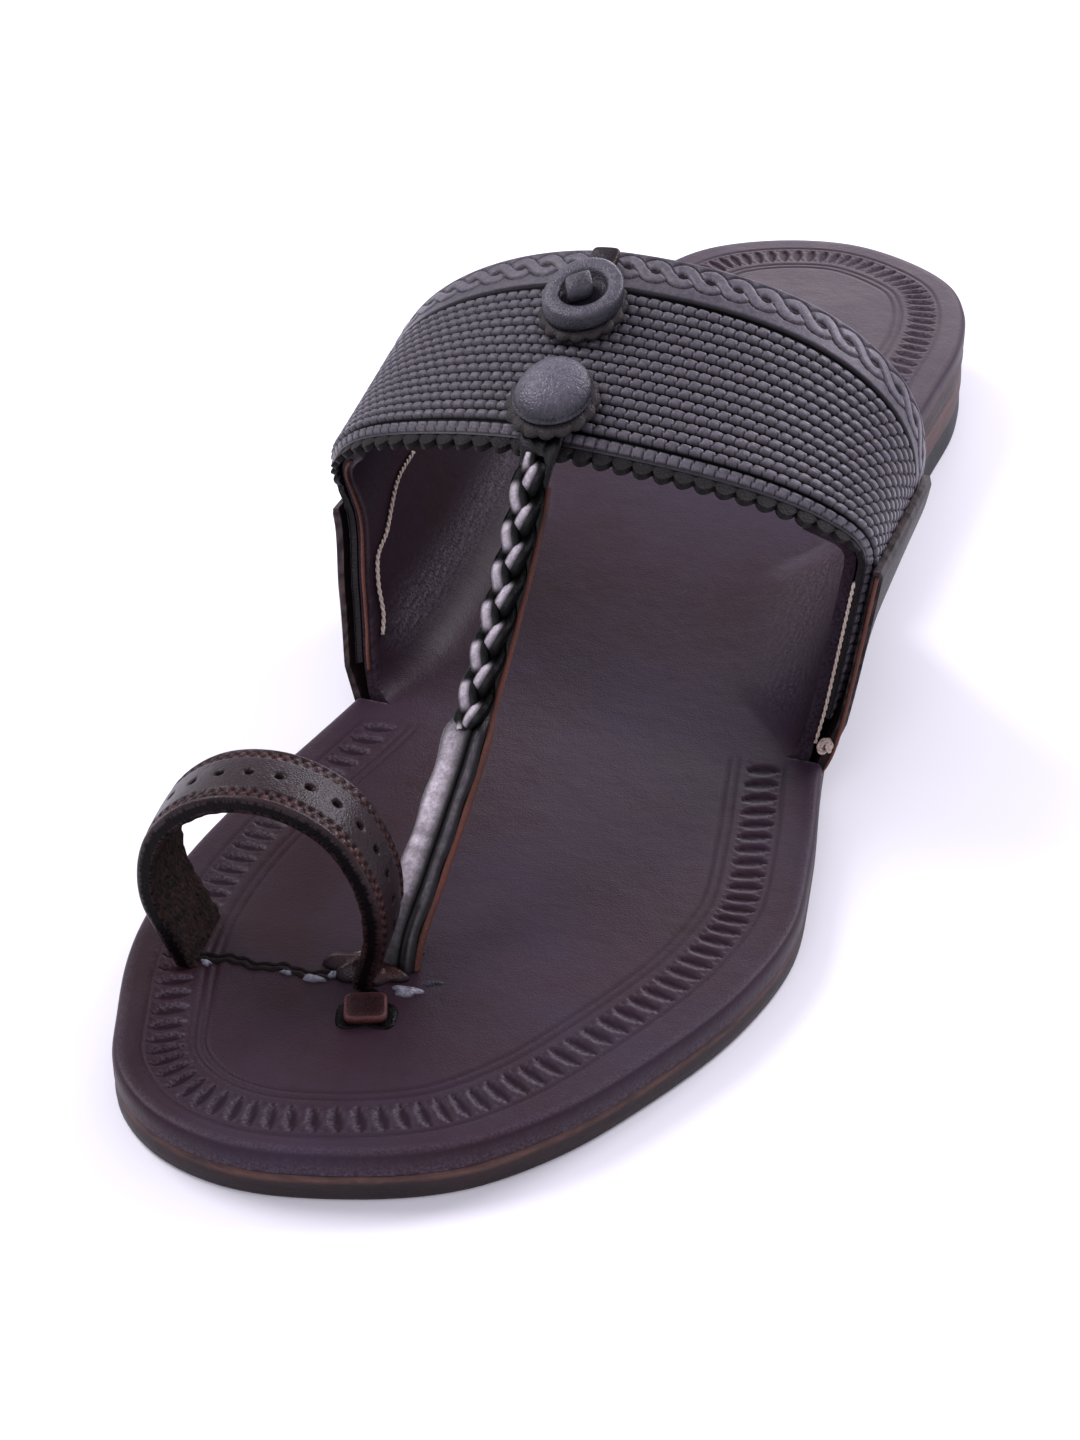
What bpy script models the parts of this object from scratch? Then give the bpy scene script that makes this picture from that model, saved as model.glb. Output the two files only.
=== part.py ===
# Kolhapuri sandal for the left foot, in metres. Toes point to -Y, the little toe's side is +X, and +Z is up.
# The foot's form is one surface, the last. The ears of the footbed, the ends of the woven band and the outer facings
# are plies that lie on it one over the other, so they all follow the same sections.

from math import radians

import bmesh
import bpy
import numpy as np

# Overall sizes
LENGTH = 0.276
BALL_WIDTH = 0.0928
HEEL_WIDTH = 0.0667
GAP = 0.0003

# Sole layers
FOOTBED = 0.0035
OUTSOLE = 0.0042
HEEL_LIFT = 0.0054
TOP_PIECE = 0.005
EDGE_ROUND = 0.0011
OUTSOLE_ROUND = 0.0006
HEEL_ROUND = 0.0004
OUTLINE_SOFTENING = 16
BREAST_AT = 0.33
BREAST_CURVE = 0.003
RISE_FROM = 0.62
RISE_TO = 0.25

# Last, the surface that the ears lie on
MEDIAL_FLARE_HEIGHT = 0.033
LATERAL_FLARE_HEIGHT = 0.042
MEDIAL_FLARE = 0.0382
LATERAL_FLARE = 0.0422
MEDIAL_LEAN = radians(18)
LATERAL_LEAN = radians(9)
MEDIAL_FULLNESS = 0.55
LATERAL_FULLNESS = 0.60
LOW_FULLNESS = 0.75
EAR_STAND = 0.50
MEDIAL_BEND = 0.0105
LATERAL_BEND = 0.0165
CORNER_BEND = 0.0060
BEND_RUN = 0.0160
INSTEP_FRONT = 0.0558
INSTEP_REAR = 0.0693
CROWN_SHIFT = 0.0005

# Plies of the upper
EAR_PLY = 0.0018
BAND_WALL = 0.0022
FACING_PLY = 0.0015
LINING_PLY = 0.0009
LINING_SHOWS = 0.0022
TOOTH_DEPTH = 0.0011
TEETH = 30
WEAVE_ROWS = 14
WEAVE_RELIEF = 0.0006
BORDER_WIDTH = 0.0075
BORDER_RAISED = 0.0003
EAR_TOP = 1.35
PLY_BOTTOM = 0.4
FACING_TOP = 1.0

# Toe strap and toe loop
STRAP_WIDTH = 0.0066
STRAP_THICK = 0.0036
BRAID_WIDTH = 0.0054
BRAID_THICK = 0.0038
BRAID_PITCH = 0.0062
BRAID_RELIEF = 0.0004
STRAP_END = 0.0011
END_THICK = 0.0022
POST_X = -0.0016
POST_Y = -0.0965
LOOP_STRAP = 0.0125
LOOP_WALL = 0.0027
LOOP_WIDTH = 0.0350
LOOP_HEIGHT = 0.0300
LOOP_X = -0.0187
LOOP_Y = -0.0982
LOOP_TURN = radians(7)

# Buttons, knot and tabs
DOME_X = -0.0018
DOME_Y = -0.0290
DOME_RADIUS = 0.0060
DOME_HEIGHT = 0.0030
DOME_WASHER_RADIUS = 0.0071
DISC_X = -0.0038
DISC_Y = -0.0097
DISC_RADIUS = 0.0062
DISC_THICK = 0.0027
RECESS_RADIUS = 0.0036
RECESS_DEPTH = 0.0014
DISC_WASHER_RADIUS = 0.0069
WASHER_THICK = 0.0013
WASHER_BREAK = 0.0004
WASHER_SCALLOPS = 16
SCALLOP_DEPTH = 0.0005
CLEAR_OF_BORDER = 0.0008
KNOT_SIDE = 0.0046
KNOT_THICK = 0.0022
TAB_WIDTH = 0.0046
TAB_LENGTH = 0.0044
TAB_THICK = 0.0016
PEG_WIDTH = 0.0060
PEG_LENGTH = 0.0058
PEG_THICK = 0.0014
PEG_AHEAD = 0.0107
PEG_ASIDE = -0.0004
PEG_TURN = radians(22)

# Places round the last, as in EDGES, where the ear and the outer facing have a row of points, and a box's faces
EAR_PLACES = np.array([0, 0.1, 0.2, 0.3, 0.4, 0.55, 0.75, 1.0, 1.18, EAR_TOP])
FACING_PLACES = np.array([PLY_BOTTOM, 0.55, 0.75, FACING_TOP])
BOX_FACES = ((3, 2, 1, 0), (4, 5, 6, 7), (0, 1, 5, 4), (1, 2, 6, 5), (2, 3, 7, 6), (3, 0, 4, 7))

# Colours in linear light
DARK_LEATHER = (0.052, 0.040, 0.046)
BLACK_LEATHER = (0.075, 0.070, 0.078)
BROWN_LEATHER = (0.060, 0.045, 0.045)
WORN_LEATHER = (0.085, 0.080, 0.088)
RED_LEATHER = (0.090, 0.030, 0.022)
LIFT_LEATHER = (0.095, 0.042, 0.032)
SOLE_LEATHER = (0.040, 0.028, 0.028)
BLACK_RUBBER = (0.020, 0.018, 0.020)

# Outline of the sole. Along runs from the heel, in shares of LENGTH. Medial and lateral are the edge's distances from
# the heel's middle line, in shares of HEEL_WIDTH in the first table and of BALL_WIDTH in the second.
HEEL_OUTLINE = (
    # along, medial, lateral
    (0.000, -0.045, 0.045),
    (0.0145, 0.215, 0.225),
    (0.0440, 0.372, 0.381),
    (0.0800, 0.449, 0.455),
    (0.1300, 0.494, 0.495),
    (0.2000, 0.496, 0.494),
    (0.2900, 0.468, 0.484),
    (0.4000, 0.455, 0.502),
)
BALL_OUTLINE = (
    (0.4850, 0.325, 0.396),
    (0.5890, 0.346, 0.444),
    (0.6800, 0.388, 0.500),
    (0.7500, 0.426, 0.526),
    (0.8070, 0.437, 0.498),
    (0.8760, 0.416, 0.416),
    (0.9270, 0.364, 0.330),
    (0.9640, 0.314, 0.228),
    (0.9900, 0.222, 0.070),
    (1.0000, 0.115, -0.115),
)

# Front and rear edges of the upper's plies, in shares of LENGTH, at places round the last: 0 is the footbed, 1 the
# widest place, 2 the crown, 3 the widest place on the other side and 4 the footbed again.
EDGES = (
    # place, front, rear
    (0.00, -0.1220, 0.1380),
    (0.35, -0.1120, 0.1260),
    (0.70, -0.0860, 0.0890),
    (1.00, -0.0600, 0.0540),
    (1.30, -0.0860, 0.0320),
    (1.60, -0.1090, 0.0190),
    (2.00, -0.1190, 0.0130),
    (2.40, -0.1160, 0.0180),
    (2.70, -0.1060, 0.0230),
    (3.00, -0.0850, 0.0300),
    (3.30, -0.0840, 0.0520),
    (3.65, -0.0900, 0.0920),
    (4.00, -0.0990, 0.1090),
)

# Middle line of the toe loop, from its medial foot: across in shares of LOOP_WIDTH from LOOP_X, up in shares of
# LOOP_HEIGHT above the footbed.
LOOP_LINE = (
    # across, up
    (-0.29, -0.08),
    (-0.36, 0.10),
    (-0.455, 0.38),
    (-0.41, 0.70),
    (-0.20, 0.92),
    (0.06, 0.955),
    (0.29, 0.83),
    (0.43, 0.56),
    (0.455, 0.25),
    (0.41, 0.04),
    (0.395, -0.08),
)

# Middle line of the toe strap between its foot and the band's front edge: ahead and up are shares of those two
# distances, and side is metres to the lateral side of the straight line.
STRAP_LINE = (
    # ahead, up, side
    (0.00, -0.035, 0.0),
    (0.03, 0.05, 0.0),
    (0.16, 0.175, 0.0004),
    (0.36, 0.350, 0.0009),
    (0.60, 0.575, 0.0009),
    (0.84, 0.820, 0.0004),
    (0.96, 0.965, 0.0),
)


def through(x, rows_x, rows_y):
    """A smooth curve through a table's rows: each stretch is a cubic whose slopes come from its neighbours."""
    xs = np.asarray(rows_x, float)
    ys = np.asarray(rows_y, float)
    slope = np.gradient(ys, xs)
    i = np.clip(np.searchsorted(xs, x) - 1, 0, len(xs) - 2)
    h = xs[i + 1] - xs[i]
    t = (x - xs[i]) / h
    start = (2 * t**3 - 3 * t**2 + 1) * ys[i] + (t**3 - 2 * t**2 + t) * h * slope[i]
    end = (3 * t**2 - 2 * t**3) * ys[i + 1] + (t**3 - t**2) * h * slope[i + 1]
    return start + end


def path_through(points, count):
    """Evenly spaced points on a smooth curve through a few given ones."""
    pts = np.asarray(points, float)
    reach = np.concatenate([[0], np.cumsum(np.linalg.norm(np.diff(pts, axis=0), axis=1))])
    fine = np.linspace(0, reach[-1], 400)
    line = np.stack([through(fine, reach, pts[:, k]) for k in range(pts.shape[1])], axis=1)
    run = np.concatenate([[0], np.cumsum(np.linalg.norm(np.diff(line, axis=0), axis=1))])
    at = np.linspace(0, run[-1], count)
    return np.stack([np.interp(at, run, line[:, k]) for k in range(pts.shape[1])], axis=1)


def along_to_y(along):
    return LENGTH * (0.5 - np.asarray(along))


def softened(values, reach):
    """A Gaussian mean round a closed line, taken twice over so that the line doesn't shrink."""
    weight = np.exp(-0.5 * (np.arange(-3 * reach, 3 * reach + 1) / reach) ** 2)
    weight /= weight.sum()
    once = np.convolve(np.concatenate([values[-3 * reach :], values, values[: 3 * reach]]), weight, "valid")
    twice = np.convolve(np.concatenate([once[-3 * reach :], once, once[: 3 * reach]]), weight, "valid")
    return 2 * once - twice


def outline_sides():
    """The sole's outline as two lines, medial and lateral, each with y rising from toe to heel."""
    heel = [(a, m * HEEL_WIDTH, s * HEEL_WIDTH) for a, m, s in HEEL_OUTLINE]
    ball = [(a, m * BALL_WIDTH, s * BALL_WIDTH) for a, m, s in BALL_OUTLINE]
    rows = heel + ball
    medial = [(-m, along_to_y(a)) for a, m, s in rows]
    lateral = [(s, along_to_y(a)) for a, m, s in rows]
    loop = medial[1:-1] + [medial[-1]] + lateral[::-1][1:-1] + [lateral[0]]
    loop = loop[-3:] + loop + loop[:3]
    pts = np.asarray(loop)
    reach = np.concatenate([[0], np.cumsum(np.linalg.norm(np.diff(pts, axis=0), axis=1))])
    fine = np.linspace(reach[3], reach[-3], 3000)
    x = softened(through(fine, reach, pts[:, 0])[:-1], OUTLINE_SOFTENING)
    y = softened(through(fine, reach, pts[:, 1])[:-1], OUTLINE_SOFTENING)
    toe = int(np.argmin(y))
    x, y = np.roll(x, -toe), np.roll(y, -toe)
    heel_at = int(np.argmax(y))
    return (x[heel_at:][::-1], y[heel_at:][::-1]), (x[: heel_at + 1], y[: heel_at + 1])


MEDIAL_LINE, LATERAL_LINE = outline_sides()
TOE_Y = float(max(MEDIAL_LINE[1].min(), LATERAL_LINE[1].min()))
HEEL_Y = float(min(MEDIAL_LINE[1].max(), LATERAL_LINE[1].max()))


def edge_x(y, side):
    """Distance of the sole's edge from the middle line at y, positive towards that side."""
    xs, ys = MEDIAL_LINE if side < 0 else LATERAL_LINE
    order = np.argsort(ys)
    return side * np.interp(y, ys[order], xs[order])


def footbed_top(y):
    """Height of the footbed: flat under the forefoot, then one soft rise to the heel."""
    share = np.clip((y - along_to_y(RISE_FROM)) / (along_to_y(RISE_TO) - along_to_y(RISE_FROM)), 0, 1)
    rise = HEEL_LIFT + TOP_PIECE + 2 * GAP
    return OUTSOLE + GAP + FOOTBED + rise * share**2 * (3 - 2 * share)


def outsole_top(y):
    return footbed_top(y) - FOOTBED - GAP


def round_off(distance, radius):
    """How far a rounded edge lies below the face beside it, at a distance inwards from the edge."""
    inside = np.clip(radius - distance, 0, radius)
    return radius - np.sqrt(radius**2 - inside**2)


def cubic(p0, p1, p2, p3, t):
    s = 1 - t
    point = s**3 * p0 + 3 * s**2 * t * p1 + 3 * s * t**2 * p2 + t**3 * p3
    speed = 3 * s**2 * (p1 - p0) + 6 * s * t * (p2 - p1) + 3 * t**2 * (p3 - p2)
    return point, speed


def front_edge(place):
    return LENGTH * through(place, [row[0] for row in EDGES], [row[1] for row in EDGES])


def rear_edge(place):
    return LENGTH * through(place, [row[0] for row in EDGES], [row[2] for row in EDGES])


def ply_y(place, share):
    """y of a point that lies a share of the way from the plies' front edge to their rear edge."""
    return front_edge(place) + share * (rear_edge(place) - front_edge(place))


def bend_reach(y, medial):
    """How far in from the sole's edge the footbed starts to turn up: less at an ear's two corners than between them."""
    front = np.where(medial, EDGES[0][1], EDGES[-1][1]) * LENGTH
    rear = np.where(medial, EDGES[0][2], EDGES[-1][2]) * LENGTH
    full = np.where(medial, MEDIAL_BEND, LATERAL_BEND)
    share = np.clip(np.minimum(y - front, rear - y) / BEND_RUN, 0, 1)
    return CORNER_BEND + (full - CORNER_BEND) * share**2 * (3 - 2 * share)


def crown_height(y):
    front, rear = EDGES[6][1] * LENGTH, EDGES[6][2] * LENGTH
    return INSTEP_FRONT + (INSTEP_REAR - INSTEP_FRONT) * (y - front) / (rear - front)


def on_last(place, y, offset=0.0):
    """A point on the last at a place round it, or off it by some distance. Each half of a section is two cubic arcs:
    one leaves the footbed level and turns up into the ear, and the other goes over from the widest place to the crown."""
    place, y, offset = np.broadcast_arrays(np.asarray(place, float), np.asarray(y, float), np.asarray(offset, float))
    side = np.where(place < 2, -1.0, 1.0)
    half = np.where(place < 2, place, 4 - place)
    medial = side < 0
    bend = bend_reach(y, medial)
    wide = np.where(medial, MEDIAL_FLARE, LATERAL_FLARE)
    lean = np.where(medial, MEDIAL_LEAN, LATERAL_LEAN)
    flare_z = np.where(medial, MEDIAL_FLARE_HEIGHT, LATERAL_FLARE_HEIGHT)
    full = np.where(medial, MEDIAL_FULLNESS, LATERAL_FULLNESS)
    foot_x = np.where(medial, edge_x(y, -1), edge_x(y, 1)) - bend
    foot_z = footbed_top(y)
    crown_x = CROWN_SHIFT * side
    crown_z = crown_height(y)
    up = flare_z - foot_z
    over = crown_z - flare_z
    dx, dz = np.sin(lean), np.cos(lean)
    low_x = (foot_x, foot_x + LOW_FULLNESS * bend, wide - EAR_STAND * up * dx, wide)
    low_z = (foot_z, foot_z, flare_z - EAR_STAND * up * dz, flare_z)
    top_x = (wide, wide + full * over * dx, crown_x + full * wide, crown_x)
    top_z = (flare_z, flare_z + full * over * dz, crown_z, crown_z)
    x_low, vx_low = cubic(*low_x, half)
    z_low, vz_low = cubic(*low_z, half)
    x_top, vx_top = cubic(*top_x, half - 1)
    z_top, vz_top = cubic(*top_z, half - 1)
    lower = half < 1
    x, z = np.where(lower, x_low, x_top), np.where(lower, z_low, z_top)
    vx, vz = np.where(lower, vx_low, vx_top), np.where(lower, vz_low, vz_top)
    size = np.hypot(vx, vz)
    x = x + offset * vz / size
    z = z - offset * vx / size
    return np.stack([side * x, y, z], axis=-1)


def ear_wall(place):
    """Thickness of the footbed's leather round the bend: skived from the sole's to the ear's."""
    half = np.minimum(place, 4 - np.asarray(place))
    share = np.clip(half / 0.3, 0, 1)
    return FOOTBED + (EAR_PLY - FOOTBED) * share


def new_object(name, mesh, color, roughness, smooth_angle=40):
    material = bpy.data.materials.new(name + "_finish")
    material.use_nodes = True
    shader = material.node_tree.nodes["Principled BSDF"]
    shader.inputs["Base Color"].default_value = (*color, 1)
    shader.inputs["Roughness"].default_value = roughness
    shader.inputs["Metallic"].default_value = 0.0
    mesh.materials.append(material)
    mesh.shade_smooth()
    mesh.set_sharp_from_angle(angle=radians(smooth_angle))
    made = bpy.data.objects.new(name, mesh)
    bpy.context.collection.objects.link(made)
    return made


def mesh_of(name, points, faces):
    """A mesh from points and faces, with the points that coincide made one and its faces turned outwards."""
    work = bmesh.new()
    verts = [work.verts.new(p) for p in points]
    for face in faces:
        work.faces.new([verts[i] for i in face])
    bmesh.ops.recalc_face_normals(work, faces=work.faces)
    if work.calc_volume(signed=True) < 0:
        bmesh.ops.reverse_faces(work, faces=work.faces)
    mesh = bpy.data.meshes.new(name)
    work.to_mesh(mesh)
    work.free()
    return mesh


def sheet(name, patches, color, roughness):
    """A closed ply from patches of its top and bottom faces. Patches that share an edge's points are joined there, and
    every edge that is left open gets a wall."""
    tops, bottoms, quads, start = [], [], [], 0
    for top, bottom in patches:
        rows, columns = top.shape[:2]
        grid = start + np.arange(rows * columns).reshape(rows, columns)
        corners = (grid[:-1, :-1], grid[:-1, 1:], grid[1:, 1:], grid[1:, :-1])
        quads.append(np.stack([c.ravel() for c in corners], axis=1))
        tops.append(top.reshape(-1, 3))
        bottoms.append(bottom.reshape(-1, 3))
        start += rows * columns
    top, bottom, quads = np.concatenate(tops), np.concatenate(bottoms), np.concatenate(quads)
    _, first, same = np.unique(np.round(top * 1e7), axis=0, return_index=True, return_inverse=True)
    quads = same.reshape(-1)[quads]
    top, bottom = top[first], bottom[first]
    count = len(top)
    faces = [tuple(q) for q in quads] + [tuple(q[::-1] + count) for q in quads]
    ends = np.concatenate([quads[:, [k, (k + 1) % 4]] for k in range(4)])
    twins = {(b, a) for a, b in ends.tolist()}
    faces += [(b, a, a + count, b + count) for a, b in ends.tolist() if (a, b) not in twins]
    return new_object(name, mesh_of(name, np.concatenate([top, bottom]), faces), color, roughness)


def rings(name, loops, color, roughness):
    """A closed solid through a row of loops with as many points each, capped at both ends."""
    loops = np.asarray(loops)
    count, size = loops.shape[:2]
    grid = np.arange(count * size).reshape(count, size)
    turned = np.roll(grid, -1, axis=1)
    corners = (grid[:-1], turned[:-1], turned[1:], grid[1:])
    faces = [tuple(q) for q in np.stack([c.ravel() for c in corners], axis=1)]
    faces += [tuple(grid[0][::-1]), tuple(grid[-1])]
    return new_object(name, mesh_of(name, loops.reshape(-1, 3), faces), color, roughness)


def sole_layer(name, y_from, top, bottom, radius, color, roughness, curve=0.0):
    """One layer of the sole from y_from to the heel: its top and bottom follow two height functions, and its long
    edges are rounded by radius above and below."""
    steps = 34 if y_from < 0 else 16
    turn = np.linspace(0, np.pi, steps) if y_from < 0 else np.linspace(np.pi / 2, np.pi, steps)
    near, far = (TOE_Y, HEEL_Y) if y_from < 0 else (2 * y_from - HEEL_Y, HEEL_Y)
    rows = (near + far) / 2 - (far - near) / 2 * np.cos(turn)
    rows = np.clip(rows, near + 0.0001, far - 0.0001)
    tops, bottoms = [], []
    for y in rows:
        left, right = -edge_x(y, -1), edge_x(y, 1)
        across = np.array([left, left + 0.3 * radius, left + radius, right - radius, right - 0.3 * radius, right])
        inner = np.array([0, 0.3, 1, 1, 0.3, 0]) * radius
        sunk = round_off(inner, radius)
        middle = (across - left) / (right - left) - 0.5
        back = y + curve * (1 - 4 * middle**2) * (y == rows[0])
        tops.append(np.stack([across, back + 0 * across, top(back) - sunk], axis=1))
        bottoms.append(np.stack([across, back + 0 * across, bottom(back) + sunk], axis=1))
    return sheet(name, [(np.array(tops), np.array(bottoms))], color, roughness)


def footbed_row(y_medial, y_lateral, knees):
    """One row of the footbed from edge to edge, as columns of x and y: rounded edge, strip, middle, strip, edge."""
    left, right = -edge_x(y_medial, -1), edge_x(y_lateral, 1)
    knee_left, knee_right = knees
    strip = np.array([0.0, 0.3, 1.0])
    outer_left = left + strip * EDGE_ROUND
    outer_right = right - strip[::-1] * EDGE_ROUND
    side_left = np.linspace(outer_left[-1], knee_left, 4)[1:]
    side_right = np.linspace(knee_right, outer_right[0], 4)[:-1]
    middle = np.linspace(knee_left, knee_right, 5)[1:-1]
    x = np.concatenate([outer_left, side_left, middle, side_right, outer_right])
    across = np.clip((x - knee_left) / (knee_right - knee_left), 0, 1)
    y = y_medial + (y_lateral - y_medial) * across
    sunk = round_off(np.minimum(x - left, right - x), EDGE_ROUND)
    return x, y, sunk


def make_footbed():
    """Flat in front of the ears and behind them, and between them a middle with two wings that turn up into the ears.
    Each ear is slit from the flat part at its front and rear corner."""
    shares = np.linspace(0, 1, 11)
    medial_y, lateral_y = ply_y(0.0, shares), ply_y(4.0, shares)
    knee_m, knee_l = on_last(0.0, medial_y), on_last(4.0, lateral_y)

    def full(share_rows, y_tip, at):
        tops, bottoms = [], []
        for share in share_rows:
            y_m = y_tip + share * (medial_y[at] - y_tip)
            y_l = y_tip + share * (lateral_y[at] - y_tip)
            wide_m, wide_l = edge_x(y_m, -1), edge_x(y_l, 1)
            part_m = 0.62 + share * (-knee_m[at][0] / edge_x(medial_y[at], -1) - 0.62)
            part_l = 0.62 + share * (knee_l[at][0] / edge_x(lateral_y[at], 1) - 0.62)
            mid = (wide_l - wide_m) / 2
            left = -wide_m * part_m + (1 - share) * mid * (1 - part_m)
            right = wide_l * part_l + (1 - share) * mid * (1 - part_l)
            x, y, sunk = footbed_row(y_m, y_l, (left, right))
            tip = EDGE_ROUND * np.clip(1 - abs(y - y_tip) / EDGE_ROUND, 0, 1)
            tip_sunk = EDGE_ROUND - np.sqrt(EDGE_ROUND**2 - tip**2)
            z = footbed_top(y)
            tops.append(np.stack([x, y, z - np.maximum(sunk, tip_sunk)], axis=1))
            bottoms.append(np.stack([x, y, z - FOOTBED], axis=1))
        return np.array(tops), np.array(bottoms)

    spread = 1 - np.cos(np.linspace(0, np.pi / 2, 15))
    front_shares = np.concatenate([[0.001, 0.004], spread[1:]])
    rear_shares = np.concatenate([[0.001, 0.004], spread[1:]])
    front_top, front_bottom = full(front_shares, TOE_Y, 0)
    rear_top, rear_bottom = full(rear_shares, HEEL_Y, -1)
    share = np.linspace(0, 1, 5)[None, :, None]
    middle_top = knee_m[:, None, :] * (1 - share) + knee_l[:, None, :] * share
    middle_top[..., 2] = footbed_top(middle_top[..., 1])
    middle_bottom = middle_top - np.array([0, 0, FOOTBED])
    wings = []
    for end, places in ((0.0, EAR_PLACES[::-1]), (4.0, 4 - EAR_PLACES)):
        y = ply_y(places[None, :], shares[:, None])
        wings.append((on_last(places[None, :], y), on_last(places[None, :], y, ear_wall(places)[None, :])))
    patches = [(front_top, front_bottom), (middle_top, middle_bottom), *wings]
    patches.append((rear_top[::-1], rear_bottom[::-1]))
    return sheet("footbed", patches, DARK_LEATHER, 0.5)


def make_facing(name, side):
    """Outer ply of one ear: it stands on the outsole's edge and lies over the band's end up to the widest place."""
    shares = np.linspace(0, 1, 11)
    places = FACING_PLACES if side < 0 else 4 - FACING_PLACES
    y = ply_y(places[None, :], shares[:, None])
    inner_offset = ear_wall(places)[None, :] + GAP + BAND_WALL + GAP
    inner = on_last(places[None, :], y, inner_offset)
    outer = on_last(places[None, :], y, inner_offset + FACING_PLY)
    foot_y = ply_y(0.0 if side < 0 else 4.0, shares)
    foot_z = outsole_top(foot_y) + GAP
    edge = edge_x(foot_y, side)
    foot_outer = np.stack([side * (edge - OUTSOLE_ROUND), foot_y, foot_z], axis=1)
    foot_inner = np.stack([side * (edge - OUTSOLE_ROUND - FACING_PLY), foot_y, foot_z], axis=1)
    inner = np.concatenate([foot_inner[:, None], inner], axis=1)
    outer = np.concatenate([foot_outer[:, None], outer], axis=1)
    return sheet(name, [(inner, outer)], BROWN_LEATHER, 0.55)


def band_profile():
    """Cross profile of the woven band from its rear edge to its front edge: share of the band's width and depth below
    its highest face. The rear border is a raised strip between two grooves, and each row of the weave is a ridge."""
    border = BORDER_WIDTH / (LENGTH * (EDGES[6][2] - EDGES[6][1]))
    rows = [(0.0, 0.5 * WEAVE_RELIEF), (0.10 * border, 0.0), (0.16 * border, WEAVE_RELIEF)]
    rows += [(0.24 * border, -BORDER_RAISED + WEAVE_RELIEF), (0.76 * border, -BORDER_RAISED + WEAVE_RELIEF)]
    rows += [(0.86 * border, WEAVE_RELIEF)]
    step = (1 - border) / WEAVE_ROWS
    for row in range(WEAVE_ROWS):
        rows += [(border + (row + 0.35) * step, 0.0), (border + (row + 0.95) * step, WEAVE_RELIEF)]
    return np.array(rows)


def make_band():
    """The instep band: loops across its width at places round the last. The lining shows in front of the woven layer
    and ends in teeth."""
    count = 2 * TEETH + 1
    low = PLY_BOTTOM
    spread = np.linspace(low, 4 - low, 400)
    line = on_last(spread, ply_y(spread, 0.5))
    run = np.concatenate([[0], np.cumsum(np.linalg.norm(np.diff(line, axis=0), axis=1))])
    places = np.interp(np.linspace(0, run[-1], count), run, spread)
    profile = band_profile()
    ear = ear_wall(places)
    inner = ear + GAP
    outer = inner + BAND_WALL
    lining = inner + LINING_PLY
    loops = []
    for k, place in enumerate(places):
        width = rear_edge(place) - front_edge(place)
        woven_y = rear_edge(place) - profile[:, 0] * width
        woven = on_last(place, woven_y, outer[k] - profile[:, 1])
        show = LINING_SHOWS - TOOTH_DEPTH * (k % 2)
        shown = np.clip((min(place, 4 - place) - 1.0) / 0.3, 0, 1)
        tip = front_edge(place) - show * shown - 0.0002
        ledge = on_last(place, np.array([front_edge(place) - 0.0001, tip]), lining[k])
        back_y = np.linspace(tip, rear_edge(place), 11)
        back = on_last(place, back_y, inner[k])
        loops.append(np.concatenate([woven, ledge, back]))
    return rings("upper", loops, BLACK_LEATHER, 0.45)


def strap_frame(line):
    """Tangent, side and normal directions along a strap's middle line, with its width kept across the shoe."""
    tangent = np.gradient(line, axis=0)
    tangent /= np.linalg.norm(tangent, axis=1)[:, None]
    across = np.array([1.0, 0.0, 0.0])
    normal = np.cross(across, tangent)
    normal /= np.linalg.norm(normal, axis=1)[:, None]
    side = np.cross(tangent, normal)
    return side, normal


def band_outer_z(x, y, height=0.0):
    """Height of the band's outer face, plus some height, over a point of the plan near the crown."""
    places = np.linspace(1.2, 2.8, 200)
    face = EAR_PLY + GAP + BAND_WALL
    result = []
    for px, py in zip(np.ravel(x), np.ravel(y)):
        section = on_last(places, np.full_like(places, py), face)
        result.append(np.interp(px, section[:, 0], section[:, 2]) + height)
    return np.array(result).reshape(np.shape(x))


def make_toe_strap():
    """Folded strap below, braid above, in one length from the toe post to under the domed button, where it is flat."""
    foot = np.array([POST_X, POST_Y, outsole_top(POST_Y) + FOOTBED])
    top_y = float(front_edge(2.0))
    top = np.array([DOME_X, top_y, float(band_outer_z(DOME_X, top_y)) + STRAP_END / 2])
    span = top - foot
    points = [foot + np.array([row[0] * span[0] + row[2], row[0] * span[1], row[1] * span[2]]) for row in STRAP_LINE]
    for y in (top_y + 0.0020, DOME_Y + 0.0010, DOME_Y + 0.0040):
        points.append(np.array([DOME_X, y, float(band_outer_z(DOME_X, y)) + STRAP_END - END_THICK / 2]))
    line = path_through(points, 46)
    run = np.concatenate([[0], np.cumsum(np.linalg.norm(np.diff(line, axis=0), axis=1))])
    share = run / run[-1]
    braid = np.clip((share - 0.40) / 0.06, 0, 1) * np.clip((0.90 - share) / 0.05, 0, 1)
    wave = BRAID_RELIEF * np.cos(2 * np.pi * run / BRAID_PITCH) * braid
    flat_end = np.clip((share - 0.82) / 0.08, 0, 1)
    width = STRAP_WIDTH + (BRAID_WIDTH - STRAP_WIDTH) * braid + 2 * wave
    thick = STRAP_THICK + (BRAID_THICK - STRAP_THICK) * braid - 2 * wave
    thick = thick + (END_THICK - thick) * flat_end
    side, normal = strap_frame(line)
    turn = np.radians([15, 60, 120, 165, 195, 240, 300, 345])
    power = 0.7
    across = np.sign(np.cos(turn)) * abs(np.cos(turn)) ** power
    up = np.sign(np.sin(turn)) * abs(np.sin(turn)) ** power
    loops = [
        line[k] + side[k] * (width[k] / 2 * across)[:, None] + normal[k] * (thick[k] / 2 * up)[:, None]
        for k in range(len(line))
    ]
    return rings("toe_strap_form", loops, BLACK_LEATHER, 0.45)


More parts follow.
